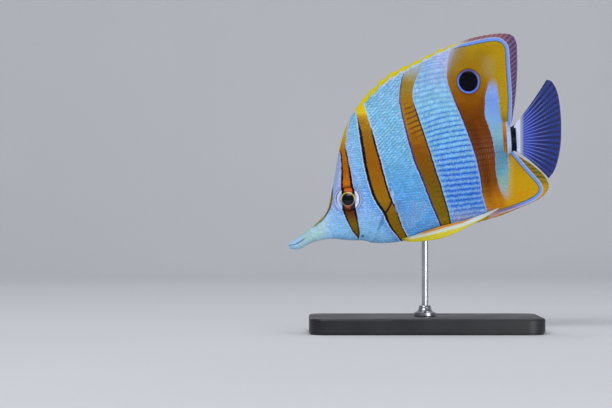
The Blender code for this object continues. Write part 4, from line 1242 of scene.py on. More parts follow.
def steel_material():
    """Brushed steel: fine rings round the rod, with faint long streaks."""
    made, board, sockets = new_material("stand_steel", metallic=1.0)
    place = board.place_in_mm()
    rings = board.add(
        "ShaderNodeVectorMath", {0: place, 1: (0.3, 0.3, 7.0)}, operation="MULTIPLY"
    )
    rings = board.noise(rings, 1.0, 3.0, 0.6)
    cloud = board.ease(board.noise(place, 0.12, 2.0), 0.3, 0.7)
    board.feed(
        sockets, base_color=board.blend(cloud, (176, 178, 182), (204, 206, 210)),
        roughness=board.ease(rings, 0.3, 0.7, 0.2, 0.34), normal=board.relief(rings, 0.15, 0.00005),
    )
    return made


def paper_material():
    """Pale matt studio paper."""
    made, board, sockets = new_material("studio_paper", specular_ior_level=0.2)
    cloud = board.noise(board.place_in_mm(), 0.004, 2.0)
    board.feed(
        sockets, base_color=board.blend(cloud, (222, 224, 228), (230, 231, 234)),
        roughness=board.ease(cloud, 0.0, 1.0, 0.85, 0.95),
    )
    return made


def band_group():
    """Shader group of one band: fill, dark edges of two widths and a pale line outside."""
    name = "banded marking"
    if name in bpy.data.node_groups:
        return bpy.data.node_groups[name]
    board, given, out = new_group(
        name,
        {
            "Under": (0, 0, 0), "Fill": (0, 0, 0), "Front": 0.0, "Rear": 0.0, "Front edge": 0.6,
            "Rear edge": 0.6, "Edge": paint(5, 5, 20), "Outline": paint(205, 216, 250),
            "Outline width": 0.6, "Strength": 1.0,
        },
        ("Colour", "Inside"),
    )
    inside = board.maths("MINIMUM", given["Front"], given["Rear"])
    width = board.maths("MULTIPLY", given["Outline width"], -1.0)
    line = board.ease(inside, board.product(width, 1.6), board.product(width, 0.6))
    colour = board.over(given["Under"], given["Outline"], line, given["Strength"])
    within = board.product(board.ease(inside, -0.16, 0.16), given["Strength"])
    colour = board.over(colour, given["Fill"], within)
    for side in ("Front", "Rear"):
        edge = given[side + " edge"]
        start, end = board.maths("SUBTRACT", edge, 0.16), board.maths("ADD", edge, 0.2)
        shade = board.ease(given[side], start, end, 1.0, 0.0)
        colour = board.over(colour, given["Edge"], shade, within, board.ease(edge, 0.02, 0.2))
    board.feed(out, colour=colour, inside=within)
    return board.tree


class Marks:
    """What the markings are painted from, read once in a node tree.

    Places in mm, two noises, the distances from both edges of each band, and the distances
    from the snout's stripe, the gill opening, the blue lines and the eyespot.
    """

    def __init__(self, board):
        maths, ease = board.maths, board.ease
        self.place = board.place_in_mm()
        self.x, _, self.z = board.split(self.place)
        self.fine = maths("SUBTRACT", board.noise(self.place, 0.9, 2.0), 0.5)
        self.broad = maths("SUBTRACT", board.noise(self.place, 0.16, 1.0), 0.5)
        self.shake = maths("MULTIPLY_ADD", self.fine, 0.8, maths("MULTIPLY", self.broad, 0.5))
        self.tone = maths("MULTIPLY_ADD", self.broad, 14.0, self.z)
        self.front, self.rear, others = {}, {}, []
        for key in BANDS:
            near, far, other = board.field(key)
            self.front[key] = maths("ADD", near, self.shake)
            self.rear[key] = maths("ADD", far, self.shake)
            others.append(other)
        self.stripe, self.gill, self.dorsal_line, self.anal_line, self.eyespot = others
        self.step, self.rays, self.to_margin = board.field("fin")
        self.dorsal_along, self.anal_along, self.gill_along = board.field("line_ends")
        self.on_fin = ease(self.step, 0.01, 0.08)
        self.on_anal = ease(self.rays, ANAL_COUNT - 1.5, ANAL_COUNT - 0.5)
        self.on_dorsal = board.product(self.on_fin, maths("SUBTRACT", 1.0, self.on_anal))


def ground_colour(board, at, colours, scale_lines):
    """Blue of the body, paler upward, with painted light under the head, painted glints, the rows of
    scales and the rim of the eye.
    """
    ease, maths, over, product = board.ease, board.maths, board.over, board.product
    x, z, front, rear = at.x, at.z, at.front, at.rear
    ground = board.by_height(
        at.tone, (40.0, colours.body_low), (62.0, 84, 166, 246), (88.0, 104, 186, 234),
        (112.0, colours.body_top), (130.0, 140, 186, 234),
    )
    behind = ease(rear["third_band"], 0.0, -3.0)
    head = ease(front["second_band"], -1.0, -5.0)
    brow = ease(front["eye_band"], 0.5, -1.0)
    to_rear = front["rear_band"]
    ground = over(ground, (48, 118, 220), behind, board.between(z, 98.0, 74.0, 54.0, 62.0), 0.6)
    ground = over(ground, (152, 190, 250), head, 0.7)
    # Painted light: the underside of the head made paler cyan, in place of light from below
    ground = over(ground, (134, 206, 255), head, ease(z, 62.0, 50.0), 0.8)
    ground = over(ground, (184, 194, 248), brow, ease(z, 60.0, 66.0), 0.85)
    ground = over(ground, (184, 222, 254), ease(x, -43.0, -52.0), 0.85)
    # Painted glints: pale speckles standing in for light caught by the scales
    painted_glints = ease(board.noise(at.place, 1.5, 2.0), 0.42, 0.66)
    ground = over(ground, (196, 222, 248), painted_glints, 0.42)
    ground = over(ground, (196, 200, 240), ease(z, 64.0, 55.0), behind, ease(x, 34.0, 28.0), 0.75)
    before_rear = product(board.between(to_rear, -12.0, -3.0, 2.0, -0.5))
    ground = over(ground, (190, 196, 246), ease(z, 120.0, 138.0), before_rear, 0.75)

    # Rows of scales: blue lines where the plates meet, and a shine on each plate
    across, along, tint = board.field("plate")
    across = maths("ABSOLUTE", across)
    rows = product(ease(rear["third_band"], 0.5, -3.0), ease(z, 118.0, 100.0))
    strength = maths("MULTIPLY_ADD", rows, 0.68, 0.2)
    strength = product(strength, ease(head, 0.2, 0.8, 1.0, 0.5), ease(z, 56.0, 70.0, 0.3, 1.0))
    meet = maths("MAXIMUM", ease(across, 0.52, 0.92), product(ease(along, 0.62, 1.0), 0.5))
    ground = over(ground, (56, 96, 226), meet, strength, scale_lines)
    shine = product(ease(across, 0.5, 0.05), ease(along, 0.1, 0.6))
    ground = over(ground, (196, 236, 252), shine, scale_lines, 0.34)

    # Dotted mesh of the front flank, in slanting lines
    flank = product(ease(rear["second_band"], -0.4, -1.6), ease(front["third_band"], -0.2, -1.2))
    mesh = maths("MULTIPLY_ADD", z, MESH_UP, maths("MULTIPLY", x, MESH_ALONG))
    mesh = ease(maths("SINE", maths("MULTIPLY_ADD", at.broad, 5.0, mesh)), 0.0, 0.95)
    dots = ease(board.noise(at.place, 1.1, 1.0), 0.38, 0.6, 0.15, 1.0)
    mesh = product(mesh, flank, ease(z, 74.0, 94.0), dots)
    gaps = maths("MULTIPLY_ADD", mesh, -0.3, product(flank, 0.35))
    ground = over(ground, (84, 166, 220), gaps)
    ground = over(ground, (206, 240, 254), mesh, 0.6)
    ground = board.shaded(ground, maths("MULTIPLY_ADD", tint, 0.24, 0.88), 1.0)

    # Pale rim round the eye, with a thin blue outline
    from_eye = maths("SQRT", board.squared(x, z, EYE_PLACE))
    ground = over(ground, (206, 222, 252), ease(from_eye, 6.9, 6.6), 0.6)
    return over(ground, (64, 104, 190), ease(board.away(from_eye, 6.95), 0.3, 0.1), 0.5)


def banded_colour(board, at, colour):
    """The four dark bands and the pale bar; gives back the second band's mask as well."""
    ease, maths, over, product = board.ease, board.maths, board.over, board.product
    x, z, front, rear = at.x, at.z, at.front, at.rear

    def band(key, under, fill, **values):
        values = {"front": front[key], "rear": rear[key], **values}
        return board.group(band_group(), under=under, fill=fill, **values)

    # Eye band: yellow on the forehead, orange with dark edges, olive below the eye
    fill = board.by_height(
        z, (46.0, 112, 92, 4), (54.0, 132, 100, 0), (59.0, 96, 52, 8), (63.0, 120, 36, 18),
        (71.5, 176, 70, 40), (74.0, 214, 118, 6), (80.0, 182, 98, 0), (90.0, 190, 116, 0),
        (97.0, 216, 170, 0), (106.0, 232, 210, 4),
    )
    dark = ease(z, 96.0, 88.0, 0.0, 0.55)
    by_eye = ease(board.away(z, 69.0), 17.0, 6.0)
    colour, _ = band(
        "eye_band", colour, fill, front_edge=maths("MULTIPLY_ADD", by_eye, 0.4, dark),
        rear_edge=maths("MULTIPLY_ADD", by_eye, 0.65, dark), outline=paint(168, 200, 246),
        outline_width=0.36,
    )

    # Second band: yellow, orange, olive; a wide dark front edge and a thin ragged rear edge
    fill = board.by_height(
        at.tone, (44.0, 142, 110, 0), (56.0, 140, 102, 0), (66.0, 166, 116, 0),
        (84.0, 160, 96, 0), (101.0, 158, 108, 0), (108.0, 204, 154, 0), (112.0, 238, 206, 0),
    )
    ragged = maths("MULTIPLY_ADD", at.fine, 1.6, ease(z, 58.0, 68.0, 0.5, 0.9))
    colour, second = band(
        "second_band", colour, fill,
        front_edge=product(ease(z, 110.0, 98.0, 0.0, 1.4), ease(z, 48.0, 62.0, 0.5, 1.0)),
        rear_edge=product(ease(z, 104.0, 96.0), ragged),
        outline=paint(190, 214, 250), outline_width=0.5,
    )

    # Third band: fades out at the back, brown in the middle, golden olive at the belly
    fill = board.by_height(
        at.tone, (46.0, 176, 138, 0), (58.0, 136, 110, 0), (74.0, 124, 90, 0), (90.0, 144, 84, 0),
        (102.0, 178, 118, 0), (112.0, 172, 118, 8), (122.0, 160, 128, 44), (128.0, 170, 148, 70),
        (134.0, 176, 176, 130),
    )
    bars = maths("SINE", maths("MULTIPLY_ADD", z, 2.3, maths("MULTIPLY", x, -0.95)))
    here = product(board.between(z, 116.0, 111.0, 94.0, 101.0), ease(front["third_band"], 0.8, 3.0))
    fill = over(fill, (92, 46, 12), ease(bars, -0.1, 0.9), here, 0.75)
    colour, _ = band(
        "third_band", colour, fill, front_edge=ease(z, 126.0, 96.0, 0.3, 0.72),
        rear_edge=ease(z, 118.0, 108.0, 0.0, 0.62),
        edge=board.blend(ease(front["third_band"], 2.2, 1.6), (6, 8, 28), (44, 38, 124)),
        outline=paint(168, 204, 248), outline_width=0.36, strength=ease(z, 137.0, 124.0, 0.1, 1.0),
    )

    # Rear band: grey-gold above, gold round the eyespot, red-brown, orange at the anal fin
    fill = board.by_height(
        at.tone, (58.0, 206, 140, 0), (68.0, 184, 112, 0), (77.0, 140, 76, 0), (92.0, 116, 56, 0),
        (106.0, 118, 60, 0), (116.0, 140, 80, 2), (126.0, 160, 110, 6), (138.0, 170, 134, 30),
        (148.0, 192, 154, 20),
    )
    inward = front["rear_band"]
    fill = over(fill, (190, 152, 14), ease(x, 28.0, 38.0), ease(z, 100.0, 112.0))
    for lean, start, end, foot, shade in (
        (-0.35, -37.5, -49.5, 122.0, (150, 134, 96)), (-0.25, -30.0, -37.0, 124.0, (190, 194, 226)),
    ):
        corner = ease(maths("MULTIPLY_ADD", z, lean, inward), start, end)
        fill = over(fill, shade, corner, ease(z, foot, 134.0))
    cloud = product(ease(board.away(x, 32.0), 6.0, 1.0), board.between(z, 124.0, 130.0, 141.0, 134.0))
    fill = over(fill, (176, 164, 110), cloud, 0.4)
    warm = product(ease(board.away(inward, 3.2), 3.4, 0.6), board.between(z, 62.0, 76.0, 112.0, 96.0))
    fill = over(fill, (84, 36, 6), warm, 0.6)
    fill = over(fill, (182, 156, 184), ease(z, 64.0, 56.0), ease(inward, 9.0, 0.0), 0.75)
    colour, _ = band(
        "rear_band", colour, fill,
        rear=maths("MAXIMUM", rear["rear_band"], ease(x, 28.0, 30.0, -9.0, 9.0)),
        front_edge=product(ease(z, 128.0, 108.0, 0.0, 0.5), ease(z, 64.0, 74.0)), rear_edge=0.0,
        edge=paint(64, 34, 40), outline_width=0.62,
        outline=board.blend(ease(z, 124.0, 134.0), (158, 184, 250), (198, 204, 240)),
    )

    # Yellow body of the anal fin, and a pale halo round the foot of the pale bar
    anal = board.by_height(
        z, (52.0, 206, 134, 0), (62.0, 214, 156, 0), (76.0, 208, 162, 0), (90.0, 180, 132, 0)
    )
    past = ease(rear["rear_band"], 1.0, -3.0)
    colour = over(colour, anal, ease(x, 30.0, 40.0), ease(z, 92.0, 88.0), past)
    halo = product(ease(rear["pale_bar"], -5.0, -0.5), ease(front["pale_bar"], 0.0, 1.0))
    colour = over(colour, (204, 180, 110), halo, board.between(z, 90.0, 84.0, 62.0, 72.0), 0.6)

    # Pale bar in front of the tail, blue in the middle and yellowish at its foot
    fill = board.by_height(
        z, (64.0, 196, 170, 90), (72.0, 160, 186, 160), (80.0, 120, 180, 196), (90.0, 102, 150, 182),
        (98.0, 140, 190, 204), (106.0, 142, 188, 240), (116.0, 134, 172, 246),
        (123.0, 158, 182, 244), (129.0, 190, 184, 206),
    )
    colour, _ = band(
        "pale_bar", colour, fill, front_edge=0.0, rear_edge=0.0, outline=paint(142, 168, 244),
        outline_width=0.3, strength=product(board.between(z, 128.0, 118.0, 64.0, 76.0)),
    )
    return colour, second


def tail_root_colour(board, at, colour):
    """Root of the tail: orange stripe, white bar, black crescent, white edge."""
    lean = board.maths("MULTIPLY_ADD", at.z, 0.06, at.x)
    here = board.product(board.between(at.z, 88.6, 90.5, 106.0, 104.0))
    orange = board.by_height(
        at.z, (88.0, 170, 126, 40), (96.0, 150, 92, 40), (100.5, 206, 122, 6), (104.0, 214, 146, 0)
    )
    for low, high, shade in (
        (44.6, 46.6, orange), (46.5, 48.7, (186, 208, 248)), (48.7, 51.4, (4, 6, 22)),
        (51.4, 55.0, (200, 210, 248)),
    ):
        colour = board.over(colour, shade, board.within(lean, low, high), here)
    return colour


def fin_margin_colour(board, at, colours, colour):
    """Fins outside their blue lines, the lines, and the yellow edge of the folded spines."""
    ease, maths, over, product = board.ease, board.maths, board.over, board.product
    x, z, to_anal = at.x, at.z, at.anal_along
    streak = ease(maths("SINE", maths("MULTIPLY_ADD", at.rays, 2 * math.pi, at.shake)), -0.3, 0.9)
    rear = ease(x, 36.0, 44.0)
    violet = board.blend(rear, (136, 92, 92), (82, 66, 104))
    olive = board.blend(ease(z, 70.0, 78.0), (214, 156, 0), (104, 98, 6))
    olive = over(olive, (170, 120, 24), ease(to_anal, 0.5, 0.75))
    for line, along, shown, outer, rim in (
        (at.dorsal_line, at.dorsal_along, product(at.on_dorsal, ease(x, 8.0, 16.0)),
         violet, board.blend(rear, (178, 138, 156), (150, 112, 144))),
        (at.anal_line, to_anal, product(at.on_anal, ease(to_anal, 1.0, 0.86)),
         olive, (196, 150, 60)),
    ):
        line = maths("ADD", line, maths("MULTIPLY", at.shake, 0.4))
        outside = product(ease(line, 0.2, 0.6), shown)
        colour = over(colour, over(outer, rim, streak, 0.5), outside)
        colour = over(colour, rim, outside, ease(at.to_margin, 0.9, 0.1), 0.4)
        for offset, shade in ((-0.8, (48, 88, 92)), (0.85, (196, 196, 236))):
            colour = over(colour, shade, ease(board.away(line, offset), 0.42, 0.15), shown, 0.75)
        faded = product(ease(along, 0.62, 0.8), at.on_anal)
        blue = board.blend(faded, colours.line_blue, (132, 118, 164))
        colour = over(colour, blue, ease(maths("ABSOLUTE", line), 0.75, 0.45), shown)
    start = product(ease(at.step, 0.04, 0.3), ease(at.front["rear_band"], 1.0, -0.5))
    colour = over(colour, (176, 136, 30), at.on_anal, start)

    # Yellow edge of the folded spines with a pale line beneath it
    spiny = product(at.on_dorsal, ease(x, 24.0, 10.0))
    down = maths("ADD", at.to_margin, maths("MULTIPLY", at.shake, 0.5))
    colour = over(colour, (206, 214, 246), ease(down, 5.2, 3.4), spiny, ease(x, -30.0, -16.0), 0.8)
    past = maths("SUBTRACT", down, ease(x, -34.0, 14.0, 2.9, 2.4))
    return over(colour, colours.edge_yellow, ease(past, 0.35, -0.2), spiny)


def small_marks_colour(board, at, colour, second):
    """Eyespot, gill opening, two spots, the stripe on the profile and the snout's tint."""
    ease, over, product = board.ease, board.over, board.product
    x, z = at.x, at.z
    colour = over(colour, (70, 44, 20), ease(at.eyespot, 1.8, 1.1), 0.6)
    ring = board.blend(ease(z, 127.0, 130.5), (104, 140, 250), (92, 84, 150))
    colour = over(colour, ring, ease(at.eyespot, 1.0, 0.7))
    colour = over(colour, (3, 4, 14), ease(at.eyespot, 0.15, -0.15))

    # Gill opening: a dark line, fainter past the second band
    notch = product(board.between(at.gill_along, 0.02, 0.1, 1.0, 0.9))
    notch = product(notch, board.maths("MAXIMUM", second, 0.35))
    colour = over(colour, (20, 18, 40), ease(board.maths("ABSOLUTE", at.gill), 0.75, 0.2), notch)
    for middle, half, shade in (
        ((-16.6, 68.9), (0.9, 2.3), (186, 212, 250)), ((-31.2, 48.0), (0.8, 0.8), (60, 62, 40)),
    ):
        colour = over(colour, shade, ease(board.squared(x, z, middle, half), 1.3, 0.3), 0.8)

    # Stripe on the profile before the eye, yellow over black
    yellow = board.blend(ease(z, 60.0, 54.0), (224, 190, 10), (176, 112, 30))
    here = product(board.between(z, 51.5, 54.0, 74.0, 71.0), ease(x, -40.0, -44.0))
    for low, high, shade in ((-1.2, 0.5, yellow), (0.5, 1.1, (26, 18, 30))):
        colour = over(colour, shade, board.within(at.stripe, low, high), here)
    tint = product(board.between(x, -48.0, -53.0, -64.0, -60.0), board.noise(at.place, 0.5, 2.0))
    return over(colour, (176, 214, 130), tint, 0.6)


def markings_group(colours):
    """Shader group of every marking of the fish, from the distances kept on its points."""
    name = "fish markings"
    if name in bpy.data.node_groups:
        return bpy.data.node_groups[name]
    board, given, out = new_group(name, {"Scale lines": 1.0}, ("Colour", "Gloss", "Height"))
    at = Marks(board)
    colour = ground_colour(board, at, colours, given["Scale lines"])
    colour, second = banded_colour(board, at, colour)
    colour = tail_root_colour(board, at, colour)
    colour = fin_margin_colour(board, at, colours, colour)
    colour = small_marks_colour(board, at, colour, second)
    mottle = board.maths("MULTIPLY_ADD", board.noise(at.place, 1.6, 3.0, 0.7), 0.5, 0.75)
    colour = board.shaded(colour, mottle, 1.04)
    bright = board.add("ShaderNodeRGBToBW", {0: colour})
    fan = board.maths("SINE", board.maths("MULTIPLY", at.rays, 12 * math.pi))
    fan = board.product(fan, at.on_fin, 0.5)
    height = board.maths("ADD", board.noise(at.place, 3.5, 3.0), fan)
    board.feed(out, colour=colour, gloss=board.ease(bright, 0.0, 0.3), height=height)
    return board.tree


def fish_material(name, colours, scale_lines, roughness, bump):
    """Skin or scale finish: the markings, a thin moist coat and a fine bump."""
    made, board, sockets = new_material(
        name, coat_weight=0.02, coat_roughness=0.2, specular_ior_level=0.12
    )
    colour, gloss, height = board.group(markings_group(colours), scale_lines=scale_lines)
    rough = board.ease(gloss, 0.0, 1.0, roughness - 0.08, roughness + 0.06)
    normal = board.relief(height, bump, 0.00012)
    board.feed(sockets, base_color=colour, roughness=rough, normal=normal)
    return made


class FishColours(bpy.types.PropertyGroup):
    """The main colours of the fish."""

    body_low: FloatVectorProperty(
        name="Belly", description="Colour of the body near the belly",
        default=paint(92, 156, 240), size=3, min=0.0, max=1.0, subtype="COLOR",
    )
    body_top: FloatVectorProperty(
        name="Back", description="Colour of the body near the back",
        default=paint(122, 196, 232), size=3, min=0.0, max=1.0, subtype="COLOR",
    )
    line_blue: FloatVectorProperty(
        name="Blue lines", description="Colour of the lines on the dorsal and anal fins",
        default=paint(112, 164, 254), size=3, min=0.0, max=1.0, subtype="COLOR",
    )
    edge_yellow: FloatVectorProperty(
        name="Yellow edge", description="Colour of the edge of the folded spines",
        default=paint(216, 202, 0), size=3, min=0.0, max=1.0, subtype="COLOR",
    )


class FishForm(bpy.types.PropertyGroup):
    """Sizes of the skin, the scales and the fins."""

    coat_depth: FloatProperty(
        name="Coat depth", description="How far the skin lies inside the solids under the scales",
        default=0.15 * MM, min=0.0, max=1.0 * MM, unit="LENGTH", precision=5,
    )


class StandForm(bpy.types.PropertyGroup):
    """Sizes of the display stand's finish."""

    corner: FloatProperty(
        name="Corner", description="Radius of the base's corners in plan",
        default=9.0 * MM, min=2.0 * MM, max=30.0 * MM, unit="LENGTH", precision=4,
    )
    rolled_edge: FloatProperty(
        name="Rolled edge", description="Radius of the base's upper edge",
        default=1.2 * MM, min=0.2 * MM, max=4.0 * MM, unit="LENGTH", precision=4,
    )
    rod: FloatProperty(
        name="Rod", description="Radius of the rod",
        default=1.6 * MM, min=0.5 * MM, max=5.0 * MM, unit="LENGTH", precision=4,
    )
    collar: FloatProperty(
        name="Collar", description="Radius of the collar at its foot",
        default=5.5 * MM, min=2.0 * MM, max=12.0 * MM, unit="LENGTH", precision=4,
    )
    sunk: FloatProperty(
        name="Sunk", description="How far the rod goes on into the belly",
        default=0.8 * MM, min=0.0, max=4.0 * MM, unit="LENGTH", precision=4,
    )


class StageForm(bpy.types.PropertyGroup):
    """Camera and light of the studio."""

    lens: FloatProperty(
        name="Lens", description="Focal length of the camera",
        default=141.2, min=20.0, max=400.0, unit="CAMERA",
    )
    distance: FloatProperty(
        name="Distance", description="How far the camera stands from the fish",
        default=1.2, min=0.2, max=2.1, unit="LENGTH",
    )
    height: FloatProperty(
        name="Height", description="Height of the camera above the floor",
        default=0.064, min=0.0, max=1.0, unit="LENGTH",
    )
    sideways: FloatProperty(
        name="Sideways", description="Place of the camera along the fish",
        default=-0.05945, min=-1.0, max=1.0, unit="LENGTH",
    )


class FISH_OT_skin(bpy.types.Operator):
    """Build the one skin of body, dorsal fins and anal fin"""

    bl_idname = "fish.skin"
    bl_label = "Skin"

    def execute(self, context):
        chart = SkinChart(context.scene.fish_form.coat_depth / MM)
        points, faces, fields = chart.mesh()
        material = fish_material("skin", context.scene.fish_colours, 0.0, 0.34, 0.4)
        new_piece("fish_skin", points, faces, material, "skin_blue", fields, SKIN_NODES)
        return {"FINISHED"}


SKIN_NODES = (
    "head", "upper_jaw", "lower_jaw", "gill_cover_left", "gill_cover_right", "torso",
    "tail_base", "spiny_dorsal_fin", "soft_dorsal_fin", "anal_fin",
)


class FISH_OT_tail_fin(bpy.types.Operator):
    """Build the tail fin, a fan of forked rays from the end of the body"""

    bl_idname = "fish.tail_fin"
    bl_label = "Tail fin"

    def execute(self, context):
        share = np.linspace(0, 1, 16 * CAUDAL_RAYS + 1)
        step = np.linspace(-0.07, 1, 64)
        high, low = (np.ravel(body_side(np.array(LAST_ROW), np.array(end))) for end in (1.0, 0.0))
        root = high + (low - high) * share[:, None]
        reach = curve_through(CAUDAL_MARGIN)(share) - root
        place = root[:, None] + reach[:, None] * step[None, :, None]
        over = np.clip(step, 0, 1)[None, :]
        place[..., 1] += CAUDAL_BEND * (2 * share[:, None] - 1) * 4 * over * (1 - over)
        middle = np.insert(place, 1, 0.0, axis=-1)
        rays = share[:, None] * CAUDAL_RAYS + 0 * over
        ridge = forked_ridge(rays, over) * np.minimum(1, over / 0.1) * (1 - 0.7 * over)
        half = 0.14 + 1.1 * (1 - over) ** 1.8 + 0.2 * ridge
        steps = step + 0 * rays
        length = np.linalg.norm(reach, axis=-1)[:, None] * (1 - steps)
        sheet = (middle, half, (0.0, 1.0, 0.0), (steps, rays, length))
        fin_piece("tail_fin", sheet, tail_material(), "fin_clear", "caudal_fin")
        return {"FINISHED"}


class FISH_OT_paired_fins(bpy.types.Operator):
    """Build the clear fans behind the gill covers and the long blades under the belly"""

    bl_idname = "fish.paired_fins"
    bl_label = "Paired fins"

    def execute(self, context):
        chart = SkinChart(context.scene.fish_form.coat_depth / MM)
        material = pectoral_material()
        share = np.linspace(0, 1, 14 * PECTORAL_RAYS + 1)[:, None]
        step = np.linspace(-0.1, 1, 48)[None, :]
        angle = np.radians(np.interp(share, (0, 1), PECTORAL_ANGLES))
        reach = PECTORAL_REACH * (1 - (1 - PECTORAL_LEAST) * share)
        reach = reach * np.interp(share, (0, 1 / PECTORAL_RAYS), (PECTORAL_FIRST, 1.0))
        top, low = np.array(PECTORAL_ROOT_TOP), np.array(PECTORAL_ROOT_LOW)
        root = top + (low - top) * share
        spread = math.radians(PECTORAL_SPREAD)
        along = reach * step
        forward = along * np.cos(angle)
        x = root[:, :1] + forward * math.cos(spread)
        z = root[:, 1:] + along * np.sin(angle)
        y = flank(chart, root[:, 0], root[:, 1])[:, None] + forward * math.sin(spread)
        rays = share * PECTORAL_RAYS + 0 * step
        over = np.clip(step, 0, 1)
        ridge = forked_ridge(rays, over, (0.35, 0.75)) * (1 - 0.5 * over)
        half = 0.1 + 0.4 * (1 - over) ** 2 + 0.14 * ridge
        steps = 0 * rays + step
        values = (steps, rays, reach * (1 - steps))
        for side, name in SIDES:
            middle = np.stack((x, side * y, z), axis=-1)
            across = (-math.sin(spread), side * math.cos(spread), 0.0)
            sheet = (middle, half, across, values)
            fin_piece("pectoral_" + name, sheet, material, "fin_clear", "pectoral_fin_" + name)
        self.pelvic()
        return {"FINISHED"}

    def pelvic(self):
        """Blades between two curves in the side view, leaning out from the belly."""
        material = pelvic_material()
        share = np.linspace(0, 1, 150)
        over = np.linspace(0, 1, 12 * PELVIC_RAYS + 1)[None, :]
        low = curve_through(PELVIC_LOW)(share)[:, None, :]
        high = curve_through(PELVIC_HIGH)(share)[:, None, :]
        place = low + (high - low) * over[..., None]
        middle_y = np.interp(share, PELVIC_OUT_SHARES, PELVIC_OUT)[:, None]
        middle_y = middle_y + PELVIC_LEAN * (over - 0.5)
        rays = over * PELVIC_RAYS + 0 * share[:, None]
        steps = share[:, None] + 0 * over
        ridge = forked_ridge(rays, steps, (0.5, 0.85), 0.14) * (1 - 0.5 * steps)
        half = 0.18 + 0.22 * (1 - steps) + 0.2 * ridge
        for side, name in SIDES:
            middle = np.stack((place[..., 0], side * middle_y, place[..., 1]), axis=-1)
            sheet = (middle, half, (0.0, 1.0, 0.0), (steps, rays, 0 * rays))
            fin_piece("pelvic_" + name, sheet, material, "fin_white", "pelvic_fin_" + name)


class FISH_OT_eyes(bpy.types.Operator):
    """Build the two glossy eyes in their sockets"""

    bl_idname = "fish.eyes"
    bl_label = "Eyes"

    def execute(self, context):
        chart = SkinChart(0.0)
        x, z = EYE_PLACE
        beside = RIM_RADIUS + 0.9
        across = flank(chart, (x + beside, x - beside), (z, z))
        above = flank(chart, (x, x), (z + beside, z - beside))
        slope_x = (across[0] - across[1]) / (2 * beside)
        slope_z = (above[0] - above[1]) / (2 * beside)
        width = (across.mean() + above.mean()) / 2
        share = np.linspace(0, 1, 26)
        dome = np.stack((EYE_RADIUS * share, EYE_DOME * (1 - share**2)), axis=-1)
        turn = np.radians(np.linspace(10, 90, 8))
        bowl = np.stack((EYE_RADIUS * np.cos(turn), -EYE_BACK * np.sin(turn)), axis=-1)
        bowl[-1, 0] = 0
        profile = np.concatenate((dome, bowl))[::-1]
        material = eye_material()
        for side, name in SIDES:
            centre = np.array((x, side * (width - EYE_SUNK), z))
            points, faces, (_, up, axis) = turned(profile, 72, centre, (-slope_x, side, -slope_z))
            away = points - centre
            fields = {"eye": np.stack((away[:, 0], away @ up, away @ axis), axis=-1)}
            eye = "eye_" + name
            new_piece(eye + "_glossy", points, faces, material, "eye_black", fields, (eye,))
        return {"FINISHED"}


def stand_piece(name, form, material, slot, node):
    """A piece of the stand, with crisp corners where its faces meet at a sharp angle."""
    piece = new_piece(name, *form[:2], material, slot, {}, (node,))
    piece.data.set_sharp_from_angle(angle=SHARP_ANGLE)


class FISH_OT_stand(bpy.types.Operator):
    """Build the base with its rolled edge, the collar and the rod up into the belly"""

    bl_idname = "fish.stand"
    bl_label = "Stand"

    def execute(self, context):
        form = context.scene.stand_form
        low, high = (np.array(corner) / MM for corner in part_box("stand_base"))
        corner, roll, top = form.corner / MM, form.rolled_edge / MM, high[2]
        quarter = np.linspace(0, math.pi / 2, 17)
        turn = np.concatenate([quarter + part * math.pi / 2 for part in range(4)])
        normal = np.stack((np.cos(turn), np.sin(turn)), axis=-1)
        signs = np.repeat(((1, 1), (-1, 1), (-1, -1), (1, -1)), len(quarter), axis=0)
        outline = signs * ((high[:2] - low[:2]) / 2 - corner) + corner * normal
        edge = np.linspace(0, math.pi / 2, 8)
        inset = np.array((FOOT_INSET, FOOT_INSET, 0, 0, *(roll * (1 - np.cos(edge))), corner - 0.5))
        rise = top - roll + roll * np.sin(edge)
        height = np.array((0, FOOT_HEIGHT, FOOT_HEIGHT + 0.2, top - roll, *rise, top))
        flat = outline - inset[:, None, None] * normal
        level = np.broadcast_to(height[:, None, None], (*flat.shape[:2], 1))
        rings = np.concatenate((flat, level), axis=-1)
        foot, crown = (np.broadcast_to((0.0, 0.0, z), (1, *rings.shape[1:])) for z in (0.0, top))
        base = welded_rings(np.concatenate((foot, rings, crown)))
        stand_piece("stand_base_rolled", base, stand_material(), "stand_black", "stand_base")

        # Collar: a flared foot round the rod
        steel = steel_material()
        radius, outer = form.rod / MM, form.collar / MM
        foot, top = high[2] + 0.02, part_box("stand_collar")[1][2] / MM
        inner = radius + 0.05
        neck = inner + 1.3
        profile = [(inner, foot), (outer - 0.3, foot), (outer, foot + 0.3), (outer, foot + 1.6)]
        for turn in np.linspace(0, math.pi / 2, 9):
            width = neck + (outer - neck) * (1 - math.sin(turn))
            profile.append((width, foot + 1.8 + (top - foot - 2.2) * (1 - math.cos(turn))))
        profile += [(neck - 0.25, top), (inner, top), (inner, foot)]
        collar = turned(profile, 64, np.zeros(3), (0, 0, 1))
        stand_piece("stand_collar_turned", collar, steel, "stand_steel", "stand_collar")

        # Rod: from the base up into the belly
        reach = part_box("stand_rod")[1][2] / MM + form.sunk / MM
        profile = [(0.0, foot), (radius, foot)]
        profile += [(radius, z) for z in np.linspace(foot + 2, reach - 0.3, 12)]
        profile += [(radius - 0.3, reach), (0.0, reach)]
        rod = turned(profile, 48, np.zeros(3), (0, 0, 1))
        stand_piece("stand_rod_brushed", rod, steel, "stand_steel", "stand_rod")
        return {"FINISHED"}


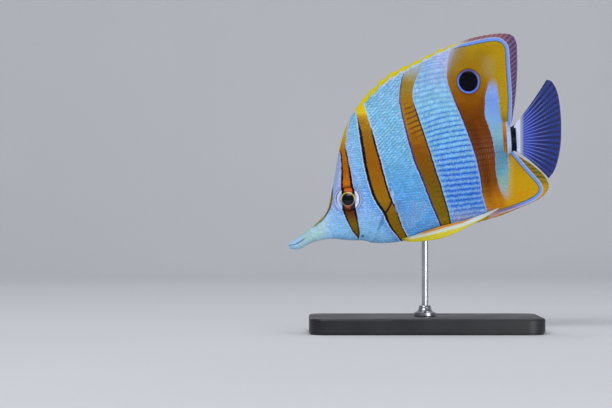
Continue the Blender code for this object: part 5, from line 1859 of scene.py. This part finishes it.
class FISH_OT_stage(bpy.types.Operator):
    """Set the floor, the lights and the camera at the photograph's angle"""

    bl_idname = "fish.stage"
    bl_label = "Studio"

    def execute(self, context):
        scene = context.scene
        form = scene.stage_form
        turn = np.linspace(0, math.pi / 2, 24)
        run_y = np.concatenate(([FLOOR_FRONT], WALL_Y - SWEEP + SWEEP * np.sin(turn), [WALL_Y]))
        run_z = np.concatenate(([0.0], SWEEP - SWEEP * np.cos(turn), [WALL_TOP]))
        across = np.linspace(-WALL_TOP, WALL_TOP, 14)
        x, y = np.meshgrid(across, run_y, indexing="ij")
        points = np.stack((x, y, np.broadcast_to(run_z, x.shape)), axis=-1).reshape(-1, 3)
        mesh = bpy.data.meshes.new("studio_floor")
        faces = grid_faces(len(across), len(run_y))
        mesh.from_pydata((points * MM).tolist(), [], faces.tolist())
        mesh.shade_smooth()
        mesh.materials.append(paper_material())
        floor = bpy.data.objects.new("studio_floor", mesh)
        scene.collection.objects.link(floor)
        data = bpy.data.cameras.new("camera")
        data.lens = form.lens
        data.sensor_width = 36.0
        data.clip_start = 0.01
        camera = bpy.data.objects.new("camera", data)
        camera.location = (form.sideways, -form.distance, form.height)
        camera.rotation_euler = (math.pi / 2, 0.0, 0.0)
        scene.collection.objects.link(camera)
        scene.camera = camera
        for name, place, aim, size, power in LAMPS:
            lamp = bpy.data.lights.new(name, "AREA")
            lamp.shape = "RECTANGLE"
            lamp.size, lamp.size_y = size
            lamp.energy = power
            holder = bpy.data.objects.new(name, lamp)
            holder.location = place
            direction = np.array(aim) - np.array(place)
            flat = math.hypot(direction[0], direction[1])
            pitch = math.atan2(flat, -direction[2])
            heading = math.atan2(direction[1], direction[0]) - math.pi / 2
            holder.rotation_euler = (pitch, 0.0, heading)
            scene.collection.objects.link(holder)
        world = bpy.data.worlds.new("studio_air")
        world.use_nodes = True
        backing = world.node_tree.nodes["Background"]
        backing.inputs["Color"].default_value = (0.86, 0.9, 1.0, 1.0)
        backing.inputs["Strength"].default_value = 0.25
        scene.world = world
        scene.view_settings.view_transform = "Standard"
        return {"FINISHED"}


# Lamps: name, place, aim, size, power
LAMPS = (
    ("key_lamp", (-0.6, -1.1, 1.1), (-0.02, 0.0, 0.09), (0.8, 0.6), 9.4),
    ("fill_lamp", (0.8, -1.2, 0.12), (0.0, 0.0, 0.06), (0.9, 0.4), 8.2),
    ("top_lamp", (0.1, 0.3, 1.3), (0.0, 0.0, 0.1), (0.9, 0.6), 5.0),
)


class FISH_PT_panel(bpy.types.Panel):
    """The fish's sizes and the buttons that build its pieces"""

    bl_label = "Copperband butterflyfish"
    bl_idname = "FISH_PT_panel"
    bl_space_type = "VIEW_3D"
    bl_region_type = "UI"
    bl_category = "Fish"

    def draw(self, context):
        for key in SETTINGS:
            group = getattr(context.scene, key)
            for name in group.__annotations__:
                self.layout.prop(group, name)
        for step in STEPS:
            self.layout.operator(step.bl_idname)


STEPS = (
    FISH_OT_skin, FISH_OT_scales, FISH_OT_tail_fin, FISH_OT_paired_fins, FISH_OT_eyes, FISH_OT_stand,
    FISH_OT_stage,
)
SETTINGS = {
    "fish_colours": FishColours, "fish_form": FishForm, "stand_form": StandForm,
    "stage_form": StageForm,
}
CLASSES = (*SETTINGS.values(), *STEPS, FISH_PT_panel)


def register():
    """Adds the classes and the settings of a scene."""
    for each in CLASSES:
        bpy.utils.register_class(each)
    for key, group in SETTINGS.items():
        setattr(bpy.types.Scene, key, PointerProperty(type=group))


def unregister():
    """Removes the settings of a scene and the classes."""
    for key in SETTINGS:
        delattr(bpy.types.Scene, key)
    for each in reversed(CLASSES):
        bpy.utils.unregister_class(each)


def main():
    """Builds every piece in order."""
    register()
    bpy.ops.fish.skin()
    bpy.ops.fish.scales()
    bpy.ops.fish.tail_fin()
    bpy.ops.fish.paired_fins()
    bpy.ops.fish.eyes()
    bpy.ops.fish.stand()
    bpy.ops.fish.stage()


if __name__ == "__main__":
    main()
